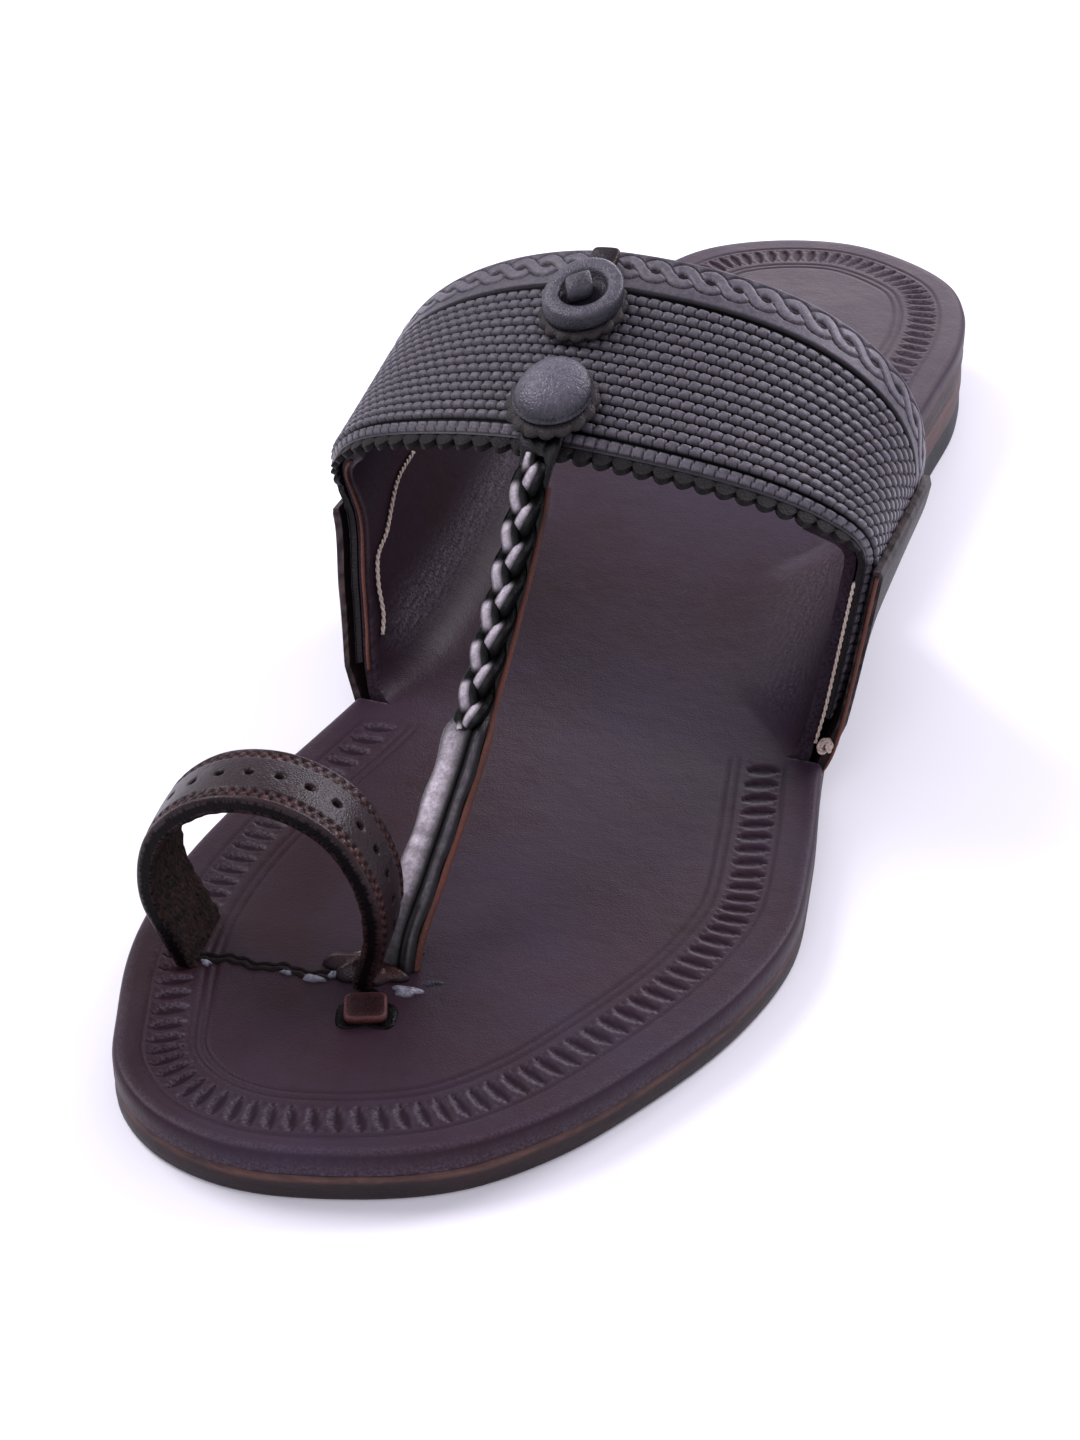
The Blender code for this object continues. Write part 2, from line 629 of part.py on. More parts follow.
def make_toe_loop():
    """The big-toe loop: a flat strap set on edge round a horseshoe line, its feet in the footbed's slots."""
    base = outsole_top(LOOP_Y) + FOOTBED
    line2d = path_through([(a * LOOP_WIDTH, base + u * LOOP_HEIGHT) for a, u in LOOP_LINE], 25)
    tangent = np.gradient(line2d, axis=0)
    tangent /= np.linalg.norm(tangent, axis=1)[:, None]
    out = np.stack([-tangent[:, 1], tangent[:, 0]], axis=1)
    turned = np.array([np.cos(LOOP_TURN), np.sin(LOOP_TURN)])
    along = np.array([-np.sin(LOOP_TURN), np.cos(LOOP_TURN)])
    corner = 0.0006
    half_w, half_t = LOOP_STRAP / 2, LOOP_WALL / 2
    shape = (
        (-half_w, -half_t + corner),
        (-half_w, half_t - corner),
        (-half_w + corner, half_t),
        (0, half_t + corner / 2),
        (half_w - corner, half_t),
        (half_w, half_t - corner),
        (half_w, -half_t + corner),
        (half_w - corner, -half_t),
        (-half_w + corner, -half_t),
    )
    loops = []
    for (x, z), (ox, oz) in zip(line2d, out):
        loop = []
        for deep, thick in shape:
            px = x + ox * thick
            loop.append((
                LOOP_X + px * turned[0] + deep * along[0],
                LOOP_Y + px * turned[1] + deep * along[1],
                max(z + oz * thick, outsole_top(LOOP_Y) + GAP),
            ))
        loops.append(loop)
    return rings("toe_loop_form", loops, BROWN_LEATHER, 0.45)


def box_points(center, size, turn=0.0):
    flat = ((-0.5, -0.5), (0.5, -0.5), (0.5, 0.5), (-0.5, 0.5))
    corners = np.array([(x, y, z) for z in (-0.5, 0.5) for x, y in flat]) * np.asarray(size)
    x = corners[:, 0] * np.cos(turn) - corners[:, 1] * np.sin(turn)
    y = corners[:, 0] * np.sin(turn) + corners[:, 1] * np.cos(turn)
    return np.stack([x, y, corners[:, 2]], axis=1) + np.asarray(center)


def make_slots():
    """Cutters of the two slots through the footbed: one for the loop's medial foot, and one at the toe post."""
    base = outsole_top(LOOP_Y) + FOOTBED
    deep = 4 * FOOTBED
    points, faces = [], []
    medial_x = LOOP_X + (LOOP_LINE[0][0] - 0.02) * LOOP_WIDTH * np.cos(LOOP_TURN)
    medial_y = LOOP_Y + LOOP_LINE[0][0] * LOOP_WIDTH * np.sin(LOOP_TURN)
    lateral_x = LOOP_X + LOOP_LINE[-1][0] * LOOP_WIDTH * np.cos(LOOP_TURN)
    lateral_y = LOOP_Y + LOOP_LINE[-1][0] * LOOP_WIDTH * np.sin(LOOP_TURN)
    left = lateral_x - LOOP_WALL
    right = POST_X + STRAP_WIDTH / 2 + 3 * GAP
    size = (LOOP_WALL + 8 * GAP, LOOP_STRAP + 4 * GAP, deep)
    post = (right - left, LOOP_STRAP + 6 * GAP, deep)
    for center, box in (((medial_x, medial_y, base), size), (((left + right) / 2, lateral_y, base), post)):
        faces += [tuple(i + len(points) for i in face) for face in BOX_FACES]
        points += box_points(center, box, LOOP_TURN).tolist()
    return new_object("slot_cutter", mesh_of("slot_cutter", points, faces), DARK_LEATHER, 0.5)


def helper(made):
    made.hide_render = True
    made.display_type = "WIRE"
    return made


def combine(target, other, operation):
    modifier = target.modifiers.new(operation.lower() + "_" + other.name, "BOOLEAN")
    modifier.operation = operation
    modifier.object = other
    helper(other)


def on_band(x, y, height):
    """Points over the band's crown: each goes up from the outer face by its own height."""
    return np.stack([x, y, band_outer_z(x, y) + height], axis=-1)


def turned_on_band(name, center, profile, segments, color, roughness, scallops=0):
    """A round piece that lies on the band: rings of a radius and a height over the band's face, top ring last."""
    turn = np.linspace(0, 2 * np.pi, segments, endpoint=False)
    loops = []
    for radius, height in profile:
        wavy = radius - SCALLOP_DEPTH * (0.5 + 0.5 * np.cos(scallops * turn)) * (scallops > 0)
        loops.append(on_band(center[0] + wavy * np.cos(turn), center[1] + wavy * np.sin(turn), height))
    return rings(name, loops, color, roughness)


def make_washer(name, center, radius, under):
    profile = (
        (radius - WASHER_BREAK, under),
        (radius, under + WASHER_BREAK),
        (radius, under + WASHER_THICK - WASHER_BREAK),
        (radius - WASHER_BREAK, under + WASHER_THICK),
    )
    turned_on_band(name, center, profile, 2 * WASHER_SCALLOPS, BROWN_LEATHER, 0.5, WASHER_SCALLOPS)


def make_buttons():
    """The domed button over the strap's end and the flat ring-shaped one behind it, each on a scalloped washer, with
    the thong's knot in the flat one's recess and its end in a tab behind."""
    dome_at = (DOME_X, DOME_Y)
    under = STRAP_END + GAP + BORDER_RAISED
    make_washer("dome_washer", dome_at, DOME_WASHER_RADIUS, under)
    base = under + WASHER_THICK + GAP
    dome = [(DOME_RADIUS - WASHER_BREAK, base)]
    for turn in np.radians([0, 22, 44, 66, 84]):
        dome.append((DOME_RADIUS * np.cos(turn), base + WASHER_BREAK + DOME_HEIGHT * np.sin(turn)))
    turned_on_band("dome_button", dome_at, dome, 24, WORN_LEATHER, 0.35)
    disc_at = (DISC_X, DISC_Y)
    make_washer("disc_washer", disc_at, DISC_WASHER_RADIUS, CLEAR_OF_BORDER)
    base = CLEAR_OF_BORDER + WASHER_THICK + GAP
    top = base + DISC_THICK
    disc = (
        (DISC_RADIUS - WASHER_BREAK, base),
        (DISC_RADIUS, base + WASHER_BREAK),
        (DISC_RADIUS, top - WASHER_BREAK),
        (DISC_RADIUS - WASHER_BREAK, top),
        (RECESS_RADIUS + WASHER_BREAK, top),
        (RECESS_RADIUS, top - RECESS_DEPTH),
    )
    turned_on_band("disc_button", disc_at, disc, 24, WORN_LEATHER, 0.4)
    knot = (KNOT_SIDE, KNOT_SIDE, KNOT_THICK)
    tab_on_band("thong_knot", disc_at, top - RECESS_DEPTH + GAP, knot)
    tab_at = (DISC_X, DISC_Y + DISC_WASHER_RADIUS + GAP + TAB_LENGTH / 2)
    tab_on_band("thong_tab", tab_at, CLEAR_OF_BORDER, (TAB_WIDTH, TAB_LENGTH, TAB_THICK))


def tab_on_band(name, center, height, size):
    """A small flat piece of leather over the band, with its upper edges broken."""
    wide, long, thick = size
    loops = []
    for grow, up in ((1.0, 0.0), (1.0, 0.7), (0.84, 1.0)):
        x = np.array([-0.5, 0.0, 0.5, 0.5, 0.5, 0.0, -0.5, -0.5]) * wide * grow
        y = np.array([-0.5, -0.5, -0.5, 0.0, 0.5, 0.5, 0.5, 0.0]) * long * grow
        loops.append(on_band(center[0] + x, center[1] + y, height + up * thick))
    return rings(name, loops, BLACK_LEATHER, 0.5)


def make_peg_tab():
    """The thong's square end, flat on the footbed in front of the toe post."""
    y = POST_Y - PEG_AHEAD
    z = footbed_top(y) + GAP
    loops = []
    for grow, up in ((0.94, 0.0), (1.0, 0.2), (1.0, 0.75), (0.88, 1.0)):
        center = (POST_X - PEG_ASIDE, y, z + up * PEG_THICK)
        corners = box_points(center, (PEG_WIDTH * grow, PEG_LENGTH * grow, 0.0), PEG_TURN)
        loops.append(corners[:4])
    return rings("peg_tab", loops, RED_LEATHER, 0.5)


def outsole_bottom(y):
    return outsole_top(y) - OUTSOLE


def lift_top(y):
    return outsole_bottom(y) - GAP


def lift_bottom(y):
    return TOP_PIECE + GAP + 0 * y


def piece_top(y):
    return TOP_PIECE + 0 * y


def piece_bottom(y):
    return 0 * y


def make_sole():
    breast = along_to_y(BREAST_AT)
    sole_layer("outsole", TOE_Y, outsole_top, outsole_bottom, OUTSOLE_ROUND, SOLE_LEATHER, 0.55)
    sole_layer("heel_lift", breast, lift_top, lift_bottom, HEEL_ROUND, LIFT_LEATHER, 0.6, BREAST_CURVE)
    sole_layer("heel_top_piece", breast, piece_top, piece_bottom, HEEL_ROUND, BLACK_RUBBER, 0.65, BREAST_CURVE)


def stand_on_origin(parts):
    """Puts the middle of the sandal's footprint box on the origin by moving the parent that holds every piece."""
    bpy.context.view_layer.update()
    graph = bpy.context.evaluated_depsgraph_get()
    low, high = np.full(3, np.inf), np.full(3, -np.inf)
    for part in parts:
        shape = part.evaluated_get(graph).to_mesh()
        points = np.empty(len(shape.vertices) * 3, np.float32)
        shape.vertices.foreach_get("co", points)
        points = points.reshape(-1, 3)
        low, high = np.minimum(low, points.min(axis=0)), np.maximum(high, points.max(axis=0))
    holder = bpy.data.objects.new("sandal", None)
    bpy.context.collection.objects.link(holder)
    holder.location = (-(low[0] + high[0]) / 2, -(low[1] + high[1]) / 2, -low[2])
    for part in bpy.context.collection.objects:
        if part is not holder:
            part.parent = holder
    print("moved by", [round(v, 6) for v in holder.location])


def build():
    for old in list(bpy.data.objects):
        bpy.data.objects.remove(old, do_unlink=True)
    make_sole()
    footbed = make_footbed()
    combine(footbed, make_slots(), "DIFFERENCE")
    upper = make_band()
    combine(upper, make_toe_strap(), "UNION")
    combine(upper, make_toe_loop(), "UNION")
    make_facing("ear_facing_medial", -1)
    make_facing("ear_facing_lateral", 1)
    make_buttons()
    make_peg_tab()
    stand_on_origin([part for part in bpy.context.collection.objects if not part.hide_render])


build()
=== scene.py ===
# Kolhapuri sandal, left shoe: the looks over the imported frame. Metres; toes to -Y, little toe's side to +X.
from math import cos, pi, radians, sin

import bmesh
import bpy
import numpy as np
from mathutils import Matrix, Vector


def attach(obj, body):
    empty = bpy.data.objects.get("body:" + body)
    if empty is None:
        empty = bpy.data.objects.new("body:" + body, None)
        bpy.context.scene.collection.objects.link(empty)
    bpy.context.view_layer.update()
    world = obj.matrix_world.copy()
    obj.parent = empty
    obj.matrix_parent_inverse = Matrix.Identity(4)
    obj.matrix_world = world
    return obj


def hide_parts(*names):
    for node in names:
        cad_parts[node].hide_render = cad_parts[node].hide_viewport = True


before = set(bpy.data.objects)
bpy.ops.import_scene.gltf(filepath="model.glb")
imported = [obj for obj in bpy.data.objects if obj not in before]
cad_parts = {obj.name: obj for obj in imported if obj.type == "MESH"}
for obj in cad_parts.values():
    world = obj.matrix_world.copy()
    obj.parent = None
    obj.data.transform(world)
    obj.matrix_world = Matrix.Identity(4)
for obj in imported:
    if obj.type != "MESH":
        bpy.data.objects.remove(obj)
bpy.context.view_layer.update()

# The last and the sole. These are the sizes of part.py, so every surface here lies where its solid does.
shoe = {
    "length": 0.276,
    "ballWidth": 0.0928,
    "heelWidth": 0.0667,
    "gap": 0.0003,
    "footbed": 0.0035,
    "outsole": 0.0042,
    "heelLift": 0.0054,
    "topPiece": 0.005,
    "breastAt": 0.33,
    "riseFrom": 0.62,
    "riseTo": 0.25,
    "movedBy": (-0.002399, 0.00002, 0.0),
}
last = {
    "flareHeight": (0.033, 0.042),  # medial, lateral
    "flare": (0.0382, 0.0422),
    "lean": (radians(18), radians(9)),
    "fullness": (0.55, 0.60),
    "lowFullness": 0.75,
    "earStand": 0.50,
    "bend": (0.0105, 0.0165),
    "cornerBend": 0.0060,
    "bendRun": 0.0160,
    "instepFront": 0.0558,
    "instepRear": 0.0693,
    "crownShift": 0.0005,
    "earPly": 0.0018,
    "earTop": 1.35,
}
# Rows of along, medial, lateral. Along runs from the heel in shares of the length; medial and lateral are
# shares of the heel's or the ball's width.
heelOutline = (
    (0.000, -0.045, 0.045),
    (0.0145, 0.215, 0.225),
    (0.0440, 0.372, 0.381),
    (0.0800, 0.449, 0.455),
    (0.1300, 0.494, 0.495),
    (0.2000, 0.496, 0.494),
    (0.2900, 0.468, 0.484),
    (0.4000, 0.455, 0.502),
)
ballOutline = (
    (0.4850, 0.325, 0.396),
    (0.5890, 0.346, 0.444),
    (0.6800, 0.388, 0.500),
    (0.7500, 0.426, 0.526),
    (0.8070, 0.437, 0.498),
    (0.8760, 0.416, 0.416),
    (0.9270, 0.364, 0.330),
    (0.9640, 0.314, 0.228),
    (0.9900, 0.222, 0.070),
    (1.0000, 0.115, -0.115),
)
# Place round the last (0 footbed, 1 widest, 2 crown, 3 widest, 4 footbed), front and rear edge of the plies.
plyEdges = (
    (0.00, -0.1220, 0.1380),
    (0.35, -0.1120, 0.1260),
    (0.70, -0.0860, 0.0890),
    (1.00, -0.0600, 0.0540),
    (1.30, -0.0860, 0.0320),
    (1.60, -0.1090, 0.0190),
    (2.00, -0.1190, 0.0130),
    (2.40, -0.1160, 0.0180),
    (2.70, -0.1060, 0.0230),
    (3.00, -0.0850, 0.0300),
    (3.30, -0.0840, 0.0520),
    (3.65, -0.0900, 0.0920),
    (4.00, -0.0990, 0.1090),
)


def ease(t):  # soft step from 0 to 1: 3t^2 - 2t^3
    t = np.clip(t, 0, 1)
    return t * t * (3 - 2 * t)


def unit(vectors):
    return vectors / np.linalg.norm(vectors, axis=-1, keepdims=True)


def through(x, rowsX, rowsY):  # piecewise cubic whose slopes come from the neighbouring rows
    xs, ys = np.asarray(rowsX, float), np.asarray(rowsY, float)
    slope = np.gradient(ys, xs)
    i = np.clip(np.searchsorted(xs, x) - 1, 0, len(xs) - 2)
    h = xs[i + 1] - xs[i]
    t = (x - xs[i]) / h
    start = (2 * t**3 - 3 * t**2 + 1) * ys[i] + (t**3 - 2 * t**2 + t) * h * slope[i]
    return start + (3 * t**2 - 2 * t**3) * ys[i + 1] + (t**3 - t**2) * h * slope[i + 1]


def runOf(line):  # distance along a line of points
    return np.concatenate([[0], np.cumsum(np.linalg.norm(np.diff(line, axis=0), axis=1))])


def evenly(line, count):  # the same line, as count points at equal distances
    run = runOf(line)
    at = np.linspace(0, run[-1], count)
    return np.stack([np.interp(at, run, line[:, k]) for k in range(line.shape[1])], axis=1)


def pathThrough(points, count):  # evenly spaced points on a smooth curve through a few given ones
    pts = np.asarray(points, float)
    reach = runOf(pts)
    fine = np.linspace(0, reach[-1], 400)
    return evenly(np.stack([through(fine, reach, pts[:, k]) for k in range(pts.shape[1])], axis=1), count)


def yAt(along):
    return shoe["length"] * (0.5 - np.asarray(along))


def softened(values, reach):  # Gaussian mean round a closed line, twice over so that the line doesn't shrink
    weight = np.exp(-0.5 * (np.arange(-3 * reach, 3 * reach + 1) / reach) ** 2)
    weight /= weight.sum()

    def mean(v):
        return np.convolve(np.concatenate([v[-3 * reach :], v, v[: 3 * reach]]), weight, "valid")

    return 2 * mean(values) - mean(mean(values))


outlineSteps = 3000
outlineSoftening = 16  # steps, of about 0.23 mm


def soleOutline():
    # Closed curve through both tables, as a medial and a lateral line with y rising from toe to heel.
    rows = [(a, m * shoe["heelWidth"], s * shoe["heelWidth"]) for a, m, s in heelOutline]
    rows += [(a, m * shoe["ballWidth"], s * shoe["ballWidth"]) for a, m, s in ballOutline]
    medial = [(-m, float(yAt(a))) for a, m, s in rows]
    lateral = [(s, float(yAt(a))) for a, m, s in rows]
    loop = medial[1:] + lateral[::-1][1:-1] + [lateral[0]]
    pts = np.asarray(loop[-3:] + loop + loop[:3])
    reach = runOf(pts)
    fine = np.linspace(reach[3], reach[-3], outlineSteps)
    x, y = (softened(through(fine, reach, pts[:, k])[:-1], outlineSoftening) for k in (0, 1))
    toe = int(np.argmin(y))
    line = np.roll(np.stack([x, y], axis=1), -toe, axis=0)
    heel = int(np.argmax(line[:, 1]))
    return np.concatenate([line[:1], line[heel:][::-1]]), line[: heel + 1]


medialLine, lateralLine = soleOutline()
toeY, heelY = float(lateralLine[0, 1]), float(lateralLine[-1, 1])


def edgeX(y, side):
    line = medialLine if side < 0 else lateralLine
    order = np.argsort(line[:, 1])
    return side * np.interp(y, line[order, 1], line[order, 0])


def footbedTop(y):
    share = (y - yAt(shoe["riseFrom"])) / (yAt(shoe["riseTo"]) - yAt(shoe["riseFrom"]))
    rise = shoe["heelLift"] + shoe["topPiece"] + 2 * shoe["gap"]
    return shoe["outsole"] + shoe["gap"] + shoe["footbed"] + rise * ease(share)


def outsoleTop(y):
    return footbedTop(y) - shoe["footbed"] - shoe["gap"]


def roundOff(distance, radius):  # depth of a rounded edge below the face beside it
    inside = np.clip(radius - distance, 0, radius)
    return radius - np.sqrt(radius**2 - inside**2)


def frontEdge(place):
    return shoe["length"] * through(place, [r[0] for r in plyEdges], [r[1] for r in plyEdges])


def rearEdge(place):
    return shoe["length"] * through(place, [r[0] for r in plyEdges], [r[2] for r in plyEdges])


def plyY(place, share):
    return frontEdge(place) + share * (rearEdge(place) - frontEdge(place))


def cubicArc(p, t):  # Bezier point and its speed
    s = 1 - t
    point = s**3 * p[0] + 3 * s**2 * t * p[1] + 3 * s * t**2 * p[2] + t**3 * p[3]
    return point, 3 * s**2 * (p[1] - p[0]) + 6 * s * t * (p[2] - p[1]) + 3 * t**2 * (p[3] - p[2])


def onLast(place, y, offset=0.0):
    # Two cubic arcs for each half of a section: from the footbed up into the ear, and over to the crown.
    # Offset moves the point off the last, along the section's normal.
    place, y, offset = np.broadcast_arrays(*(np.asarray(v, float) for v in (place, y, offset)))
    medial = place < 2
    side = np.where(medial, -1.0, 1.0)
    half = np.where(medial, place, 4 - place)
    wide, lean, full, flareZ, bendFull = (
        np.where(medial, *last[key]) for key in ("flare", "lean", "fullness", "flareHeight", "bend")
    )
    front = np.where(medial, plyEdges[0][1], plyEdges[-1][1]) * shoe["length"]
    rear = np.where(medial, plyEdges[0][2], plyEdges[-1][2]) * shoe["length"]
    share = ease(np.minimum(y - front, rear - y) / last["bendRun"])
    bend = last["cornerBend"] + (bendFull - last["cornerBend"]) * share
    footX = np.where(medial, edgeX(y, -1), edgeX(y, 1)) - bend
    footZ = footbedTop(y)
    crownFront, crownRear = plyEdges[6][1] * shoe["length"], plyEdges[6][2] * shoe["length"]
    crownShare = (y - crownFront) / (crownRear - crownFront)
    crownZ = last["instepFront"] + (last["instepRear"] - last["instepFront"]) * crownShare
    crownX = last["crownShift"] * side
    up, over = flareZ - footZ, crownZ - flareZ
    dx, dz = np.sin(lean), np.cos(lean)
    stand = last["earStand"] * up
    low = half < 1
    lowX = cubicArc((footX, footX + last["lowFullness"] * bend, wide - stand * dx, wide), half)
    lowZ = cubicArc((footZ, footZ, flareZ - stand * dz, flareZ), half)
    topX = cubicArc((wide, wide + full * over * dx, crownX + full * wide, crownX), half - 1)
    topZ = cubicArc((flareZ, flareZ + full * over * dz, crownZ, crownZ), half - 1)
    x, vx = (np.where(low, a, b) for a, b in zip(lowX, topX))
    z, vz = (np.where(low, a, b) for a, b in zip(lowZ, topZ))
    size = np.hypot(vx, vz)
    return np.stack([side * (x + offset * vz / size), y, z - offset * vx / size], axis=-1)


def earWall(place):
    half = np.minimum(place, 4 - np.asarray(place))
    return shoe["footbed"] + (last["earPly"] - shoe["footbed"]) * np.clip(half / 0.3, 0, 1)


# Meshes
def makePiece(name, patches, material, replaced=(), sharpAngle=None):
    # Patches are (points[rows, columns, 3], values), and values is a dict of arrays[rows, columns] that are
    # kept as attributes. Patches that share points are joined there, and the faces are turned outwards.
    keys = sorted({"raised"} | {key for _, values in patches for key in values})
    points, quads, start = [], [], 0
    stored = {key: [] for key in keys}
    for grid, values in patches:
        rows, columns = grid.shape[:2]
        index = start + np.arange(rows * columns).reshape(rows, columns)
        corners = (index[:-1, :-1], index[:-1, 1:], index[1:, 1:], index[1:, :-1])
        quads.append(np.stack(corners, axis=-1).reshape(-1, 4))
        points.append(grid.reshape(-1, 3) + np.array(shoe["movedBy"]))
        for key in keys:
            usual = 1.0 if key == "raised" else 0.0
            stored[key].append(np.broadcast_to(values.get(key, usual), (rows, columns)).reshape(-1))
        start += rows * columns
    mesh = bpy.data.meshes.new(name)
    mesh.from_pydata(np.concatenate(points), [], np.concatenate(quads))
    for key in keys:
        layer = mesh.attributes.new(key, "FLOAT", "POINT")
        layer.data.foreach_set("value", np.concatenate(stored[key]).astype(np.float32))
    work = bmesh.new()
    work.from_mesh(mesh)
    bmesh.ops.remove_doubles(work, verts=work.verts, dist=2e-6)
    bmesh.ops.dissolve_degenerate(work, edges=work.edges, dist=1e-7)
    bmesh.ops.recalc_face_normals(work, faces=work.faces)
    if work.calc_volume(signed=True) < 0:
        bmesh.ops.reverse_faces(work, faces=work.faces)
    openEdges = sum(1 for edge in work.edges if len(edge.link_faces) != 2)
    work.to_mesh(mesh)
    work.free()
    mesh.materials.append(material)
    mesh.shade_smooth()
    if sharpAngle:
        mesh.set_sharp_from_angle(angle=radians(sharpAngle))
    piece = bpy.data.objects.new(name, mesh)
    bpy.context.collection.objects.link(piece)
    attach(piece, "root")
    if replaced:
        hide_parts(*replaced)
    print(f"{name}: {sum(len(p.vertices) - 2 for p in mesh.polygons)} triangles, {openEdges} open edges")
    return piece


def wall(first, second, values=None, shares=(0.0, 1.0)):  # strips of faces between two rows of points
    t = np.asarray(shares)[:, None, None]
    return first[None] * (1 - t) + second[None] * t, values or {}


def wrapped(loops):  # closes each row of a grid on itself
    return np.concatenate([loops, loops[:, :1]], axis=1)


def borders(grid):
    return grid[0], grid[-1], grid[:, -1], grid[:, 0]


def rimWalls(first, second, values, shares=(0.0, 1.0)):  # the four narrow sides between two grids of one size
    return [wall(a, b, values, shares) for a, b in zip(borders(first), borders(second))]


def sealed(loops, **values):
    # Loops in a row, closed on themselves, and at each end a cap that is a strip from its rim to its middle.
    looks = {key: wrapped(np.broadcast_to(value, loops.shape[:2])) for key, value in values.items()}
    caps = [np.stack([rim, np.broadcast_to(rim.mean(axis=0), rim.shape)]) for rim in (loops[0], loops[-1])]
    return [(wrapped(loops), looks)] + [(wrapped(cap), {}) for cap in caps]


def pathFrame(line, across=(1.0, 0.0, 0.0)):  # side and normal directions along a line
    tangent = unit(np.gradient(line, axis=0))
    normal = unit(np.cross(np.broadcast_to(across, line.shape), tangent))
    return np.cross(tangent, normal), normal


def tube(line, halfWide, halfThick, sides=10, across=(1.0, 0.0, 0.0)):
    # An ellipse carried along a path: side halfWide cos(turn) + normal halfThick sin(turn).
    side, normal = pathFrame(line, across)
    turn = np.linspace(0, 2 * pi, sides, endpoint=False)
    wide = np.broadcast_to(halfWide, len(line))[:, None] * np.cos(turn)[None, :]
    thick = np.broadcast_to(halfThick, len(line))[:, None] * np.sin(turn)[None, :]
    return sealed(line[:, None] + side[:, None] * wide[..., None] + normal[:, None] * thick[..., None])


# Materials
def addNode(tree, kind, settings):
    # Adds a node. Settings are its own properties or its sockets' values; an output socket is linked.
    node = tree.nodes.new("ShaderNode" + kind)
    for key, value in settings.items():
        if not isinstance(key, int) and key not in node.inputs:
            setattr(node, key, value)
        elif isinstance(value, bpy.types.NodeSocket):
            tree.links.new(value, node.inputs[key])
        else:
            node.inputs[key].default_value = value
    return node


def linear(code):  # sRGB hex to linear light
    parts = np.array([int(code[i : i + 2], 16) for i in (1, 3, 5)]) / 255
    return (*np.where(parts <= 0.04045, parts / 12.92, ((parts + 0.055) / 1.055) ** 2.4), 1.0)


def leather(
    name, dark, light, rubbedAndLit, roughness, specular, grain, grainDepth=0.25, crease=260.0, creaseDepth=0.25,
    cloud=45.0, grooveShade=0.35, glossSpread=0.08, wearScale=700.0, patchy=0.7, stretch=(1.0, 1.0, 1.0),
):
    # Dye mottled between dark and light, a pebbled grain of so many millimetres over soft creases, and painted
    # shade: where the shading attribute is low, in grooves, on sides turned from the light and on a few parts
    # of a darker tone, the colour is multiplied down towards grooveShade and the specular level drops. The
    # shading attribute is 0 in a groove and 1 on top; the second attribute is how far the rubbed colour shows,
    # and it paints both rubbed wear and highlights, sheen and glints.
    material = bpy.data.materials.new(name)
    material.use_nodes = True
    tree = material.node_tree
    shader = tree.nodes["Principled BSDF"]
    shader.inputs["IOR"].default_value = 1.5
    at = addNode(tree, "TexCoord", {}).outputs["Object"]
    along = addNode(tree, "Mapping", {"Vector": at, "Scale": stretch}).outputs["Vector"]
    clouds = addNode(tree, "TexNoise", {"Vector": at, "Scale": cloud, "Detail": 5.0, "Roughness": 0.6})
    mottle = clouds.outputs["Fac"]
    least, most = roughness - glossSpread, roughness + glossSpread
    gloss = addNode(tree, "MapRange", {
        "Value": mottle, "From Min": 0.3, "From Max": 0.7, "To Min": least, "To Max": most,
    })
    dye = addNode(tree, "ValToRGB", {"Fac": mottle})
    for stop, position, colour in zip(dye.color_ramp.elements, (0.34, 0.68), (dark, light)):
        stop.position = position
        stop.color = linear(colour)
    stored = [addNode(tree, "Attribute", {"attribute_name": key}) for key in ("raised", "worn")]
    raised, worn = (node.outputs["Fac"] for node in stored)
    groove = addNode(tree, "MapRange", {"Value": raised, "To Min": grooveShade, "To Max": 1.0})
    shine = addNode(tree, "MapRange", {"Value": raised, "To Min": 0.03, "To Max": specular})
    shaded = addNode(tree, "Mix", {
        "data_type": "RGBA", "blend_type": "MULTIPLY", 0: 1.0,
        6: dye.outputs["Color"], 7: groove.outputs["Result"],
    })
    speck = addNode(tree, "TexNoise", {"Vector": along, "Scale": wearScale, "Detail": 4.0, "Roughness": 0.7})
    spots = addNode(tree, "MapRange", {
        "Value": speck.outputs["Fac"], "From Min": 0.38, "From Max": 0.66, "To Min": 1 - patchy,
    })
    amount = addNode(tree, "Math", {"operation": "MULTIPLY", 0: worn, 1: spots.outputs["Result"]})
    colour = addNode(tree, "Mix", {
        "data_type": "RGBA", 0: amount.outputs["Value"], 6: shaded.outputs[2], 7: linear(rubbedAndLit),
    })
    pores = addNode(tree, "TexVoronoi", {
        "feature": "DISTANCE_TO_EDGE", "Vector": along, "Scale": 1000 / grain,
    })
    pebble = addNode(tree, "MapRange", {"Value": pores.outputs["Distance"], "From Max": 0.35})
    folds = addNode(tree, "TexNoise", {"Vector": along, "Scale": crease, "Detail": 6.0, "Roughness": 0.65})
    fine = addNode(tree, "Bump", {
        "Height": pebble.outputs["Result"], "Strength": grainDepth, "Distance": 0.0002,
    })
    soft = addNode(tree, "Bump", {
        "Height": folds.outputs["Fac"], "Normal": fine.outputs["Normal"],
        "Strength": creaseDepth, "Distance": 0.0006,
    })
    tree.links.new(colour.outputs[2], shader.inputs["Base Color"])
    tree.links.new(gloss.outputs["Result"], shader.inputs["Roughness"])
    tree.links.new(shine.outputs["Result"], shader.inputs["Specular IOR Level"])
    tree.links.new(soft.outputs["Normal"], shader.inputs["Normal"])
    return material


# Vegetable-tanned footbed leather dyed purple-brown and waxed: even and satin. The bluish light tone of its
# mottle is a painted sky sheen, and the grooves of its tooling are painted darker as shade.
footbedLeather = leather(
    "waxed_footbed_leather", "#2a171c", "#312533", "#7b727d", roughness=0.46, specular=0.13, grain=0.45,
    grainDepth=0.12, crease=170.0, creaseDepth=0.28, cloud=24.0, grooveShade=0.50, wearScale=2300.0,
    patchy=1.0,
)
